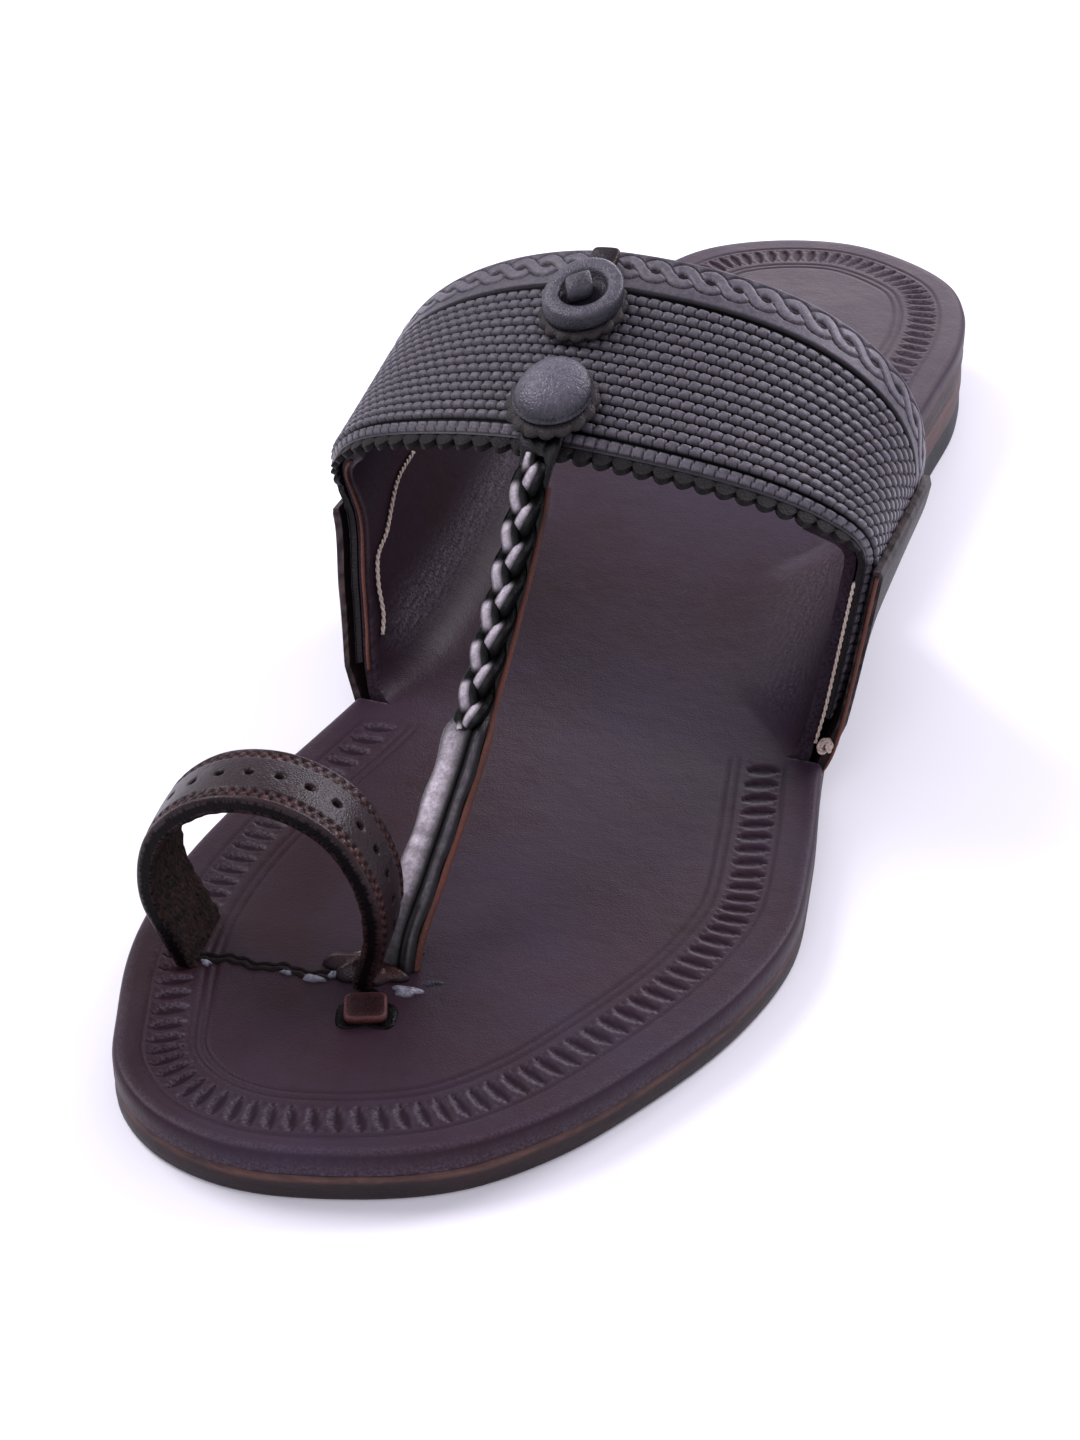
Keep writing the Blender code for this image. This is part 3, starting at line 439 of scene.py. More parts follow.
# Black goat leather cut in thin strips and woven: satin on the rubbed tops of the strips, painted black as
# shade between them.
wovenLeather = leather(
    "woven_goat_leather", "#17151a", "#242127", "#6f6872", roughness=0.40, specular=0.38, grain=0.35,
    grainDepth=0.2, crease=500.0, creaseDepth=0.2, cloud=60.0, grooveShade=0.04, wearScale=1100.0, patchy=0.5,
)
# Glazed goat leather, folded: tight grain with fine cross creases and a strong shine; its pale rubbed
# colour is a painted highlight on the strap's face and the plait.
glazedLeather = leather(
    "glazed_strap_leather", "#0b090a", "#151214", "#c8bec6", roughness=0.22, specular=0.24, grain=0.3,
    grainDepth=0.15, crease=900.0, grooveShade=0.05, glossSpread=0.05, wearScale=1400.0, patchy=0.45,
)
# Tooled strap leather, red-brown under black dye that has worn from the raised dots.
loopLeather = leather(
    "tooled_loop_leather", "#100c0f", "#21171b", "#57332f", roughness=0.33, specular=0.21, grain=0.5,
    grainDepth=0.2, grooveShade=0.05, wearScale=420.0,
)
# Flesh side of the loop: rough, brown fibres through black dye.
fleshLeather = leather(
    "rough_flesh_leather", "#0b0909", "#1a110e", "#54382f", roughness=0.85, specular=0.2, grain=0.9,
    grainDepth=0.8, crease=500.0, creaseDepth=0.9, wearScale=620.0, patchy=1.0,
)
# Cut edge of sole leather: burnished, reddish brown with dark ends of the layers; the reddish brown also
# paints the highlight along the rounded top edges.
edgeLeather = leather(
    "burnished_sole_edge", "#161216", "#251c20", "#65463f", roughness=0.50, specular=0.25, grain=0.4,
    grainDepth=0.2, crease=120.0, creaseDepth=0.35, wearScale=120.0, stretch=(1.0, 1.0, 5.0),
)
# Stacked heel lift: red-brown fibre board cut on edge, with the knife's fine lines along it.
liftLeather = leather(
    "stacked_lift_leather", "#26191b", "#3d2929", "#7d564a", roughness=0.55, specular=0.35, grain=0.5,
    grainDepth=0.2, crease=110.0, creaseDepth=0.45, wearScale=110.0, stretch=(1.0, 1.0, 7.0),
)
# Hard rubber top piece: moulded black sheet, matt and slightly dusty.
heelRubber = leather(
    "moulded_heel_rubber", "#0d0d10", "#17161a", "#33313a", roughness=0.60, specular=0.35, grain=1.2,
    grainDepth=0.1, creaseDepth=0.15, wearScale=300.0,
)
# Pinked lining: split leather, brown-black and dry.
liningLeather = leather(
    "split_lining_leather", "#0f0d0e", "#1e1a1b", "#4c3b3c", roughness=0.62, specular=0.35, grain=0.6,
    grainDepth=0.4, creaseDepth=0.4, wearScale=600.0,
)
# Button leather: black strap leather rubbed grey where it is stretched over the dome; the grey also paints
# highlights on the dome's top, the disc's rim and the knot.
buttonLeather = leather(
    "rubbed_and_lit_button_leather", "#18171c", "#28262e", "#615e69", roughness=0.34, specular=0.4, grain=0.5,
    grainDepth=0.3, crease=600.0, creaseDepth=0.3, wearScale=1500.0, patchy=0.4,
)
# Raw cut edge of tanned leather: dry, orange-brown.
rawEdge = leather(
    "raw_cut_edge", "#3b211b", "#6b3e31", "#8f5f4d", roughness=0.65, specular=0.3, grain=0.4,
    grainDepth=0.4, creaseDepth=0.5, wearScale=500.0,
)
# Square thong end: oxblood leather under black edges.
pegLeather = leather(
    "oxblood_thong_leather", "#170709", "#260d10", "#7a4d49", roughness=0.42, specular=0.12, grain=0.5,
    grainDepth=0.3, creaseDepth=0.3, patchy=0.4,
)
# Waxed cotton thread, cream with a pink cast.
threadCotton = leather(
    "waxed_cotton_thread", "#a08a7e", "#cdbcb1", "#e3d8ce", roughness=0.7, specular=0.3, grain=0.3,
    grainDepth=0.6, creaseDepth=0.3, wearScale=900.0,
)
# Dried contact glue: a thin cloudy film with a wet shine.
driedGlue = leather(
    "dried_contact_glue", "#2c2a31", "#6f6d7a", "#aeadb9", roughness=0.22, specular=0.5, grain=0.5,
    grainDepth=0.3, crease=900.0, creaseDepth=0.6, cloud=800.0, wearScale=1800.0, patchy=0.8,
)


# Footbed
tooling = {  # millimetres from the border's outer line
    "start": {"toe": 3.6, "lateralBall": 5.7, "medialBall": 4.6, "heel": 5.0},
    "linePressed": 0.16,
    "lineWide": 0.60,
    "rungsFrom": 0.7,
    "rungsTo": 5.9,
    "rungPitch": 3.3,
    "hollow": 0.34,
    "leafWide": 1.30,
    "innerLines": (7.3, 8.7),
    "edgeRound": 1.1,
    "fade": 3.0,
}


def tooledBorder(along, inwards, start):
    # Depth in millimetres. Three lines with a bell-shaped section, and between the first two a row of
    # bone-shaped rungs: what lies between them is pressed in as a leaf, 1 - (a / (w sqrt(1 - 0.92 b^2)))^2,
    # and each rung's ends are notched.
    t = inwards - start
    depth = 0.0
    for centre in (0.0, *tooling["innerLines"]):
        depth = depth + tooling["linePressed"] * np.exp(-(((t - centre) / (0.5 * tooling["lineWide"])) ** 2))
    middle = (tooling["rungsFrom"] + tooling["rungsTo"]) / 2
    half = (tooling["rungsTo"] - tooling["rungsFrom"]) / 2
    b = (t - middle) / half
    inside = ease((1.06 - abs(b)) / 0.16)
    phase = along / tooling["rungPitch"] + 0.13 * np.clip(b, -1, 1)
    a = (phase - np.round(phase)) * tooling["rungPitch"]
    leafWide = tooling["leafWide"] * np.sqrt(1 - 0.92 * np.clip(b / 0.86, -1, 1) ** 2)
    leaf = 1 - (a / leafWide) ** 2
    away = tooling["rungPitch"] / 2 - abs(a)
    notch = np.exp(-((away / 0.42) ** 2)) * ease((abs(b) - 0.52) / 0.40)
    waist = np.exp(-((away / 0.5) ** 2)) * np.exp(-((b / 0.22) ** 2))
    return depth + inside * tooling["hollow"] * (ease(leaf / 0.8) + 0.45 * notch + 0.14 * waist)


kneeColumn = 14  # column of the ring grids at the ears' corners, 6 mm in


def footbedRing(yMedial, yLateral, atToe, count, fadeEnd):
    # One end of the footbed as a grid: rows follow the outline round the tip, and columns run inwards,
    # first square to the edge, then on to a middle line. The end rows run straight across between the
    # corners of the two ears.
    lines = []
    for side, corner in ((-1, yMedial), (1, yLateral)):
        line = medialLine if side < 0 else lateralLine
        kept = line[line[:, 1] < corner - 1e-5] if atToe else line[line[:, 1] > corner + 1e-5]
        kept = kept[::-1] if atToe else kept
        lines.append(evenly(np.concatenate([[[side * edgeX(corner, side), corner]], kept]), count))
    ring = np.concatenate([lines[0], lines[1][::-1][1:]])
    tangent = unit(np.gradient(ring, axis=0))
    inward = np.stack([-tangent[:, 1], tangent[:, 0]], axis=1) * (1 if atToe else -1)
    run = runOf(ring) * 1000
    fromStart, fromEnd = run, run[-1] - run
    straight = ease(np.minimum(fromStart, fromEnd) / 16)[:, None]
    level = np.stack([np.where(fromStart < fromEnd, 1.0, -1.0), 0 * run], axis=1)
    inward = unit(inward * straight + level * (1 - straight))
    steps = np.concatenate([[0, 0.25, 0.6, 1.1, 2.0, 2.9], 3.6 + 0.3 * np.arange(43)])
    rows = ring[:, None] + inward[:, None] * steps[None, :, None] / 1000
    bend = last["cornerBend"]
    kneeM, kneeL = -edgeX(yMedial, -1) + bend, edgeX(yLateral, 1) - bend
    across = np.clip((rows[..., 0] - kneeM) / (kneeL - kneeM), 0, 1)
    goal = yMedial + (yLateral - yMedial) * across
    rows[..., 1] += ((goal - yMedial) * (1 - ease(fromStart / 30))[:, None]) + (
        (goal - yLateral) * (1 - ease(fromEnd / 30))[:, None]
    )
    tip = toeY + 0.043 if atToe else heelY - 0.036
    tipX = (edgeX(tip, 1) - edgeX(tip, -1)) / 2
    spineStart = np.array([(kneeM + kneeL) / 2, (yMedial + yLateral) / 2])
    share = np.concatenate([np.arange(count), np.arange(count - 1)[::-1]]) / (count - 1)
    spine = spineStart + (np.array([tipX, tip]) - spineStart) * share[:, None]
    t = (np.arange(1, 8) / 7)[None, :, None]
    inner = rows[:, -1:] * (1 - t) + spine[:, None] * t
    flat = np.concatenate([rows, inner], axis=1)
    inwards = np.concatenate([steps, steps[-1] + 2 + np.arange(7) * 4.0])[None, :]
    aroundTip = (run - run[count - 1]) / run[-1]  # -0.5 medial corner, 0 tip, 0.5 lateral corner
    if atToe:
        start = tooling["start"]["toe"] + np.where(
            aroundTip > 0,
            (tooling["start"]["lateralBall"] - tooling["start"]["toe"]) * ease(aroundTip / 0.28),
            (tooling["start"]["medialBall"] - tooling["start"]["toe"]) * ease(-aroundTip / 0.25),
        )
    else:
        start = tooling["start"]["heel"] + 0 * aroundTip
    fade = ease(np.minimum(fromStart - fadeEnd[0], fromEnd - fadeEnd[1]) / tooling["fade"])[:, None]
    depth = tooledBorder(run[:, None], inwards, start[:, None]) * fade * (inwards < 16.3)
    y = flat[..., 1]
    edge = 1000 * roundOff(np.minimum(inwards, 99) / 1000, tooling["edgeRound"] / 1000)
    z = footbedTop(y) - (edge + depth) / 1000
    top = np.concatenate([flat, z[..., None]], axis=2)
    under = np.concatenate([flat, (footbedTop(y) - shoe["footbed"])[..., None]], axis=2)
    # the tooling's grooves are painted darker as shade; the band over the rounded edge and one side of each
    # pressed leaf are painted lighter as highlight
    raised = 1 - np.clip(depth / 0.40, 0, 1)
    ridgeHighlight = np.clip(np.gradient(depth, axis=0) * 3 - 0.10, 0, 0.3)
    worn = 0.12 * ((inwards > 0.3) & (inwards < 1.4)) + ridgeHighlight
    underColumns = [*range(kneeColumn + 1), 48, 55]
    return top, under[:, underColumns], {"raised": raised, "worn": worn}


def buildFootbed():
    shares = np.linspace(0, 1, 41)
    yM, yL = plyY(0.0, shares), plyY(4.0, shares)
    front, frontUnder, frontLook = footbedRing(yM[0], yL[0], True, 262, (4.0, 1.0))
    rear, rearUnder, rearLook = footbedRing(yM[-1], yL[-1], False, 262, (12.0, 12.0))
    kneeM, kneeL = onLast(0.0, yM), onLast(4.0, yL)

    def middle(frontGrid, rearGrid, drop):
        # Rows between the knees; the first and last are the end rows of the two ring grids.
        grids = (frontGrid, rearGrid)
        ends = [np.concatenate([g[0, kneeColumn:], g[-1, kneeColumn:][::-1][1:]]) for g in grids]
        parts = [(e[:, 0] - e[0, 0]) / (e[-1, 0] - e[0, 0]) for e in ends]
        part = parts[0] * (1 - shares[:, None]) + parts[1] * shares[:, None]
        flat = kneeM[:, None] + (kneeL - kneeM)[:, None] * part[..., None]
        flat[..., 2] = footbedTop(flat[..., 1]) - drop
        flat[0], flat[-1] = ends
        return flat

    centre = middle(front, rear, 0.0)
    centreUnder = middle(frontUnder, rearUnder, shoe["footbed"])
    patches = [(front, frontLook), (rear, rearLook)]
    patches += [(grid, {}) for grid in (centre, frontUnder, rearUnder, centreUnder)]
    low = (0.0, 0.35, 0.75, 1.0)
    # painted highlight: the cut side is lighter towards its rounded top edge
    sideHighlight = np.array([[0.05], [0.1], [0.2], [0.25]])
    for ring, under in ((front, frontUnder), (rear, rearUnder)):
        patches.append(wall(ring[:, 0], under[:, 0], {"worn": sideHighlight}, low))
        for k in (0, -1):
            patches.append(wall(ring[k, : kneeColumn + 1], under[k, : kneeColumn + 1], {"worn": 0.5}, low))
    upEar = [np.linspace(0, 0.12, 4), np.linspace(0.15, 0.66, 36), np.linspace(0.74, last["earTop"], 11)]
    rise = np.concatenate(upEar)[None, :]
    s = shares[:, None]
    for end, bendAt, spread, strength, insideShade in ((0.0, 0.45, 0.11, 1.0, 0.88), (4.0, 0.38, 0.24, 0.9, 0.10)):
        place = abs(end - rise)
        y = plyY(place, s)
        # Creases along the bend of the ear, strongest where it turns up: sin(k place + wander(share)); their
        # lighter colour is painted sheen. Up from the bend the inside is painted darker as shade, far more on
        # the medial ear, whose inside is turned from the light.
        near = np.exp(-(((rise - bendAt) / spread) ** 2)) * ease(s / 0.2)
        wander = 5 * np.sin(7 * s) + 2.2 * np.sin(31 * s + 9 * rise)
        crease = np.sin(150 * rise + wander) * (0.5 + 0.5 * np.sin(47 * s + 60 * rise))
        dark = ease((rise - 0.10) / 0.30) * insideShade * ease(s / 0.02)
        inner = onLast(place, y, -0.00004 * near * crease * (rise > 0.14))
        outer = onLast(place, y, earWall(place))
        patches.append((inner, {"raised": 1 - dark, "worn": 0.60 * strength * near * (0.6 + 0.4 * crease)}))
        patches.append((outer, {"raised": 0.3}))
        patches += rimWalls(inner, outer, {"raised": 0.0, "worn": 0.1}, low)[:3]
    makePiece("footbed_leather", patches, footbedLeather, ("footbed",), 50)


print("footbed")
buildFootbed()


# Outsole and heel
edgeSteps = 420
breastCurve = 0.003


def soleRing(yFrom, half):
    # Two halves of the outline with as many points each, from the middle of the front to the heel's tip, so
    # that every point has its partner across the sole.
    front = float(toeY if yFrom is None else yFrom)
    halves = []
    for side, line in ((-1, medialLine), (1, lateralLine)):
        kept = line[line[:, 1] > front + 1e-6]
        if yFrom is not None:
            centre = (edgeX(front, 1) - edgeX(front, -1)) / 2
            across = np.linspace(centre, side * edgeX(front, side), 30)
            share = 2 * (across - centre) / (edgeX(front, 1) + edgeX(front, -1))
            breast = np.stack([across, front + breastCurve * (1 - share**2)], axis=1)
            kept = np.concatenate([breast, kept])
        else:
            kept = np.concatenate([line[:1], kept])
        halves.append(evenly(kept, half))
    return np.concatenate([halves[0], halves[1][::-1][1:-1]])


spineY = np.linspace(toeY + 0.02, heelY - 0.02, 60)
soleSpine = (spineY, (edgeX(spineY, 1) - edgeX(spineY, -1)) / 2)


def soleLayer(name, yFrom, topOf, bottomOf, material, node, look):
    # A profile of insets and shares of the height round the outline, with caps drawn in to a middle line.
    ring = soleRing(yFrom, edgeSteps // 2)
    tangent = unit(np.roll(ring, -1, axis=0) - np.roll(ring, 1, axis=0))
    inward = np.stack([-tangent[:, 1], tangent[:, 0]], axis=1)
    inward *= np.sign((inward * (ring.mean(axis=0) - ring)).sum(axis=1).mean())
    partner = ring[-np.arange(len(ring))]
    spine = (ring + partner) / 2
    spine[:, 1] = np.clip(spine[:, 1], ring[:, 1].min() + 0.025, ring[:, 1].max() - 0.025)
    spine[:, 0] = np.interp(spine[:, 1], *soleSpine)
    loops, wearAndSheenRows = [], []
    profile = look["profile"]
    for inset, height, worn in profile:
        flat = ring + inward * inset
        z = bottomOf(ring[:, 1]) + (topOf(ring[:, 1]) - bottomOf(ring[:, 1])) * height
        loops.append(np.column_stack([flat, z]))
        wearAndSheenRows.append(worn)
    for part in (0.35, 0.7, 1.0):
        for atTop in (True, False):
            rim = ring + inward * (profile[-1][0] if atTop else profile[0][0])
            flat = rim + (spine - rim) * part
            z = (topOf if atTop else bottomOf)(flat[:, 1])
            row = np.column_stack([flat, z])
            loops = loops + [row] if atTop else [row] + loops
            wearAndSheenRows = wearAndSheenRows + [0.0] if atTop else [0.0] + wearAndSheenRows
    grid = wrapped(np.array(loops))
    makePiece(name, [(grid, {"worn": np.array(wearAndSheenRows)[:, None]})], material, (node,), 40)


def outsoleBottom(y):
    return outsoleTop(y) - shoe["outsole"]


def liftTop(y):
    return outsoleBottom(y) - shoe["gap"]


def liftBottom(y):
    return shoe["topPiece"] + shoe["gap"] + 0 * y


def pieceTop(y):
    return shoe["topPiece"] + 0 * y


def pieceBottom(y):
    return 0 * y


sole = {  # inset, share of the height, wear and painted highlight, which is lightest along the rounded top edge
    "profile": (
        (0.0010, 0, 0.0),
        (0.0004, 0.04, 0.05),
        (0.0001, 0.16, 0.1),
        (0.0, 0.45, 0.1),
        (0.0001, 0.66, 0.15),
        (0.0002, 0.80, 0.9),
        (0.0005, 0.94, 0.7),
        (0.0011, 1, 0),
    ),
}
# the same columns; the lighter rows near the top paint the highlight on the rounded edge
heel = {
    "profile": (
        (0.0006, 0, 0.1),
        (0.0001, 0.06, 0.2),
        (0.0, 0.3, 0.3),
        (0.0001, 0.7, 0.3),
        (0.0002, 0.93, 0.6),
        (0.0008, 1, 0),
    ),
}
print("sole")
soleLayer("outsole_leather", None, outsoleTop, outsoleBottom, edgeLeather, "outsole", sole)
breastY = float(yAt(shoe["breastAt"]))
soleLayer("heel_lift_stack", breastY, liftTop, liftBottom, liftLeather, "heel_lift", heel)
soleLayer("heel_rubber", breastY, pieceTop, pieceBottom, heelRubber, "heel_top_piece", heel)


# Woven instep band
band = {
    "wall": 0.0022,
    "lining": 0.0011,
    "liningShows": 0.0004,
    "liningLap": 0.004,
    "toothDeep": 0.0019,
    "toothPitch": 3.1,  # millimetres
    "low": 0.4,
    "border": 0.206,  # share of the band's width
    "rim": 0.007,
    "rows": 15,
    "cellPitch": 1.80,  # millimetres along the band
    "slant": 0.30,
    "relief": 0.70,  # millimetres
    "rowShift": 0.46,  # share of a cell
    "scrollPitch": 4.1,
    "scrollSwing": 0.60,
    "scrollHalf": 2.25,  # half the twist's height
    "proud": 0.0003,  # metres that the highest face stands over the wall
}


def wovenRelief(u, v):
    # Depth in millimetres under the band's highest face, and how high each place is as a share. u is
    # millimetres along the band, v the share of its width from the rear. The rear border is a twist of two
    # round strands on the lines s = 0.6 cos(phase) and its mirror, the one that climbs with u lying over
    # the other. Then come a smooth rail, a groove, and rows of cells, flat squares with soft sides, each
    # row set over by about half a cell.
    b = np.clip(v / band["border"], 0, 1)
    s = (b - 0.36) / 0.30
    phase = pi * u / band["scrollPitch"]
    swing = band["scrollSwing"] * np.where(np.sin(phase) > 0, -1, 1) * np.cos(phase)
    slope = band["scrollSwing"] * band["scrollHalf"] * np.sin(phase) * pi / band["scrollPitch"]
    over, under = (abs(s - k * swing) * band["scrollHalf"] / np.sqrt(1 + slope**2) for k in (1, -1))
    tops = [np.sqrt(np.clip(1 - (d / 0.85) ** 2, 0, 1)) for d in (over, under)]
    outlines = [np.exp(-(((d - 0.92) / 0.16) ** 2)) for d in (over, under)]
    eye = 0.30 * np.exp(-((s / 0.26) ** 2)) * np.exp(-((np.sin(phase) / 0.45) ** 2))
    below = 0.76 + 0.18 * tops[1] - 0.40 * outlines[1] - eye
    chain = np.where(over < 1.05, 0.76 + 0.24 * tops[0] - 0.50 * outlines[0], below)
    borderTop = chain * ease((0.93 - b) / 0.03)
    span = (v - band["border"]) / (1 - band["border"] - band["rim"]) * band["rows"]
    row = np.floor(span)
    a = span - row
    phase = u / band["cellPitch"] + band["rowShift"] * row + band["slant"] * (a - 0.5)
    c = phase - np.floor(phase)
    tall = ease((a - 0.22) / 0.14) * ease((0.99 - a) / 0.10)
    wide = 1 - 0.62 * (1 - ease((c - 0.02) / 0.09) * ease((0.98 - c) / 0.09))
    cell = tall * wide * (0.94 + 0.06 * np.cos(2 * pi * (c - 0.4)))
    front = 0.45 + 0.15 * ease((v - 0.993) / 0.004)
    top = np.where(v < band["border"], borderTop, np.where(v > 1 - band["rim"], front, cell))
    # the share of height is also the shading attribute: the outlines, eyes, grooves and gaps are painted
    # darker as shade
    return band["relief"] * (1 - top), np.clip(top, 0, 1)


def buildBand():
    spread = np.linspace(band["low"], 4 - band["low"], 800)
    run = runOf(onLast(spread, plyY(spread, 0.45)))
    count = 620
    at = np.linspace(0, run[-1], count)[:, None]
    places = np.interp(at, run, spread)
    front, rear = frontEdge(places), rearEdge(places)
    inner = earWall(places) + shoe["gap"]
    v = np.concatenate([
        np.linspace(0, band["border"], 34)[:-1],
        np.linspace(band["border"], 1 - band["rim"], 7 * band["rows"] + 1),
        [0.995, 0.998, 1.0],
    ])[None, :]
    u = at * 1000
    depth, top = wovenRelief(u, v)
    highest = band["wall"] + band["proud"]
    thin = 1 - 0.46 * ease((v - 0.93) / 0.07)
    face = onLast(places, rear + v * (front - rear), inner + (highest - depth / 1000) * thin)
    foldY = front - np.array([[0.00015, 0.0002, 0.00015, 0.0]])
    fold = onLast(places, foldY, inner + highest * np.array([[0.44, 0.43, 0.42, 0.41]]))
    back = onLast(places, rear + np.linspace(1, 0, 10)[None, :] * (front - rear), inner + band["lining"])
    rearFold = onLast(places, rear, inner + band["wall"] * np.array([[0.6, 0.9]]))
    loops = np.concatenate([face, fold, back, rearFold], axis=1)
    # rubbed lighter on raised tops, the border most; the rise from the crown towards the lateral side is
    # painted light, where the band turns towards the lamps
    rubbedAndLit = np.where(v < band["border"], 0.92, 0.74) * (0.70 + 0.30 * ease((places - 1.6) / 1.0))
    worn = np.clip((top - 0.55) / 0.30, 0, 1) * rubbedAndLit
    extra = (count, loops.shape[1] - face.shape[1])
    raised = np.concatenate([top, np.ones(extra)], axis=1)
    worn = np.concatenate([worn, np.zeros(extra)], axis=1)
    patches = sealed(loops, raised=raised, worn=worn)
    makePiece("woven_band", patches, wovenLeather, ("upper",))

    # Lining that shows as a row of round teeth in front of the band
    shown = ease((np.minimum(places, 4 - places) - 0.95) / 0.35)
    tooth = abs(np.sin(pi * u / band["toothPitch"])) ** 0.6
    tip = (band["liningShows"] + band["toothDeep"] * tooth) * shown
    share = np.array([[0.0, 0.3, 0.55, 0.75, 0.9, 1.0]])
    start = front + band["liningLap"]
    ahead = start + (front - tip - start) * share
    sag = (0.0004 * tooth - 0.0003) * share**3 * shown
    liningUp = inner + band["lining"] - 0.0001
    topFace = onLast(places, ahead, liningUp + sag)
    lowY = np.concatenate([ahead[:, ::-1], np.linspace(0, 1, 8)[None, 1:] * (rear - start) + start], axis=1)
    lowFace = onLast(places, lowY, inner + np.concatenate([sag[:, ::-1], np.zeros((count, 7))], axis=1))
    rearTop = onLast(places, lowY[:, :5:-1], liningUp)
    patches = sealed(np.concatenate([rearTop, topFace[:, 1:], lowFace], axis=1), raised=0.45, worn=0.06)
    makePiece("pinked_lining", patches, liningLeather, ("upper",), 45)


print("woven band")
buildBand()

# Outer facings of the two ears
facing = {"ply": 0.0015, "bottom": 0.4, "top": 1.0, "edge": 0.0005, "footInset": 0.0006}


def buildFacing(name, side, node):
    # The ply from the outsole's edge up over the band's end, rounded between its inner and outer face.
    shares = np.concatenate([[0, 0.012, 0.03], np.linspace(0.06, 0.94, 34), [0.97, 0.988, 1.0]])
    where = np.linspace(facing["bottom"], facing["top"], 26)
    places = where if side < 0 else 4 - where
    y = plyY(places[None, :], shares[:, None])
    inner = (earWall(places) + 2 * shoe["gap"] + band["wall"])[None, :]
    near = np.minimum(shares, 1 - shares)[:, None] * 0.05
    sideRound = roundOff(near, facing["edge"])
    topRound = roundOff((facing["top"] - where)[None, :] * 0.03, facing["edge"])
    outer = onLast(places[None, :], y, inner + facing["ply"] - np.maximum(sideRound, topRound))
    innerFace = onLast(places[None, :], y, inner)
    footY = plyY(0.0 if side < 0 else 4.0, shares)
    footZ = outsoleTop(footY) + shoe["gap"]
    edge = edgeX(footY, side)
    feet = []
    for inset, rows in ((facing["footInset"], outer), (facing["footInset"] + facing["ply"], innerFace)):
        foot = np.stack([side * (edge - inset), footY, footZ], axis=1)
        t = np.linspace(0, 1, 9)[None, :-1, None]
        feet.append(np.concatenate([foot[:, None] * (1 - t) + rows[:, :1] * t, rows], axis=1))
    outer, innerFace = feet
    faceLook = {"raised": 0.4, "worn": 0.05}
    patches = [(outer, faceLook), (innerFace, faceLook)] + rimWalls(outer, innerFace, {"worn": 0.3})
    makePiece(name, patches, edgeLeather, (node,), 50)


print("ear facings")
buildFacing("ear_facing_inner_side", -1, "ear_facing_medial")
buildFacing("ear_facing_outer_side", 1, "ear_facing_lateral")


# Toe strap
strap = {
    "width": 0.0066,
    "thick": 0.0036,
    "postX": -0.0016,
    "postY": -0.0965,
    "end": 0.0011,
    "endThick": 0.0022,
    "domeX": -0.0018,
    "domeY": -0.0290,
    "plaitFrom": 0.40,
    "plaitTo": 0.865,
    "plaitPeriods": 2.3,
    "plaitSwing": 0.00125,
    "plaitLift": 0.0008,
    "plaitUp": 0.0009,
    "strandWide": 0.00150,
    "strandThick": 0.00085,
    "coreNarrower": 0.0014,  # the core under the plait
    "coreThick": 0.0019,
    "coreDrop": 0.0007,
    # ahead, up, side
    "line": (
        (0.00, -0.035, 0.0),
        (0.03, 0.05, 0.0),
        (0.16, 0.175, 0.0004),
        (0.36, 0.350, 0.0009),
        (0.60, 0.575, 0.0009),
        (0.84, 0.820, 0.0004),
        (0.96, 0.965, 0.0),
    ),
}


def bandZ(x, y):  # height of the band's outer face over points of the plan near the crown
    x, y = np.broadcast_arrays(np.asarray(x, float), np.asarray(y, float))
    places = np.linspace(1.2, 2.8, 160)
    section = onLast(places[None, :], y.reshape(-1, 1), last["earPly"] + shoe["gap"] + band["wall"])
    i = np.clip((section[..., 0] < x.reshape(-1, 1)).sum(axis=1), 1, len(places) - 1)
    k = np.arange(len(i))
    x0, x1 = section[k, i - 1, 0], section[k, i, 0]
    t = np.clip((x.reshape(-1) - x0) / (x1 - x0), 0, 1)
    return (section[k, i - 1, 2] * (1 - t) + section[k, i, 2] * t).reshape(x.shape)


def strapLine(count):
    foot = np.array([strap["postX"], strap["postY"], outsoleTop(strap["postY"]) + shoe["footbed"]])
    topY = float(frontEdge(2.0))
    top = np.array([strap["domeX"], topY, float(bandZ(strap["domeX"], topY)) + strap["end"] / 2])
    span = top - foot
    points = [foot + np.array([a * span[0] + s, a * span[1], u * span[2]]) for a, u, s in strap["line"]]
    for y in (topY + 0.0020, strap["domeY"] + 0.0010, strap["domeY"] + 0.0040):
        z = float(bandZ(strap["domeX"], y)) + strap["end"] - strap["endThick"] / 2
        points.append(np.array([strap["domeX"], y, z]))
    return pathThrough(points, count)


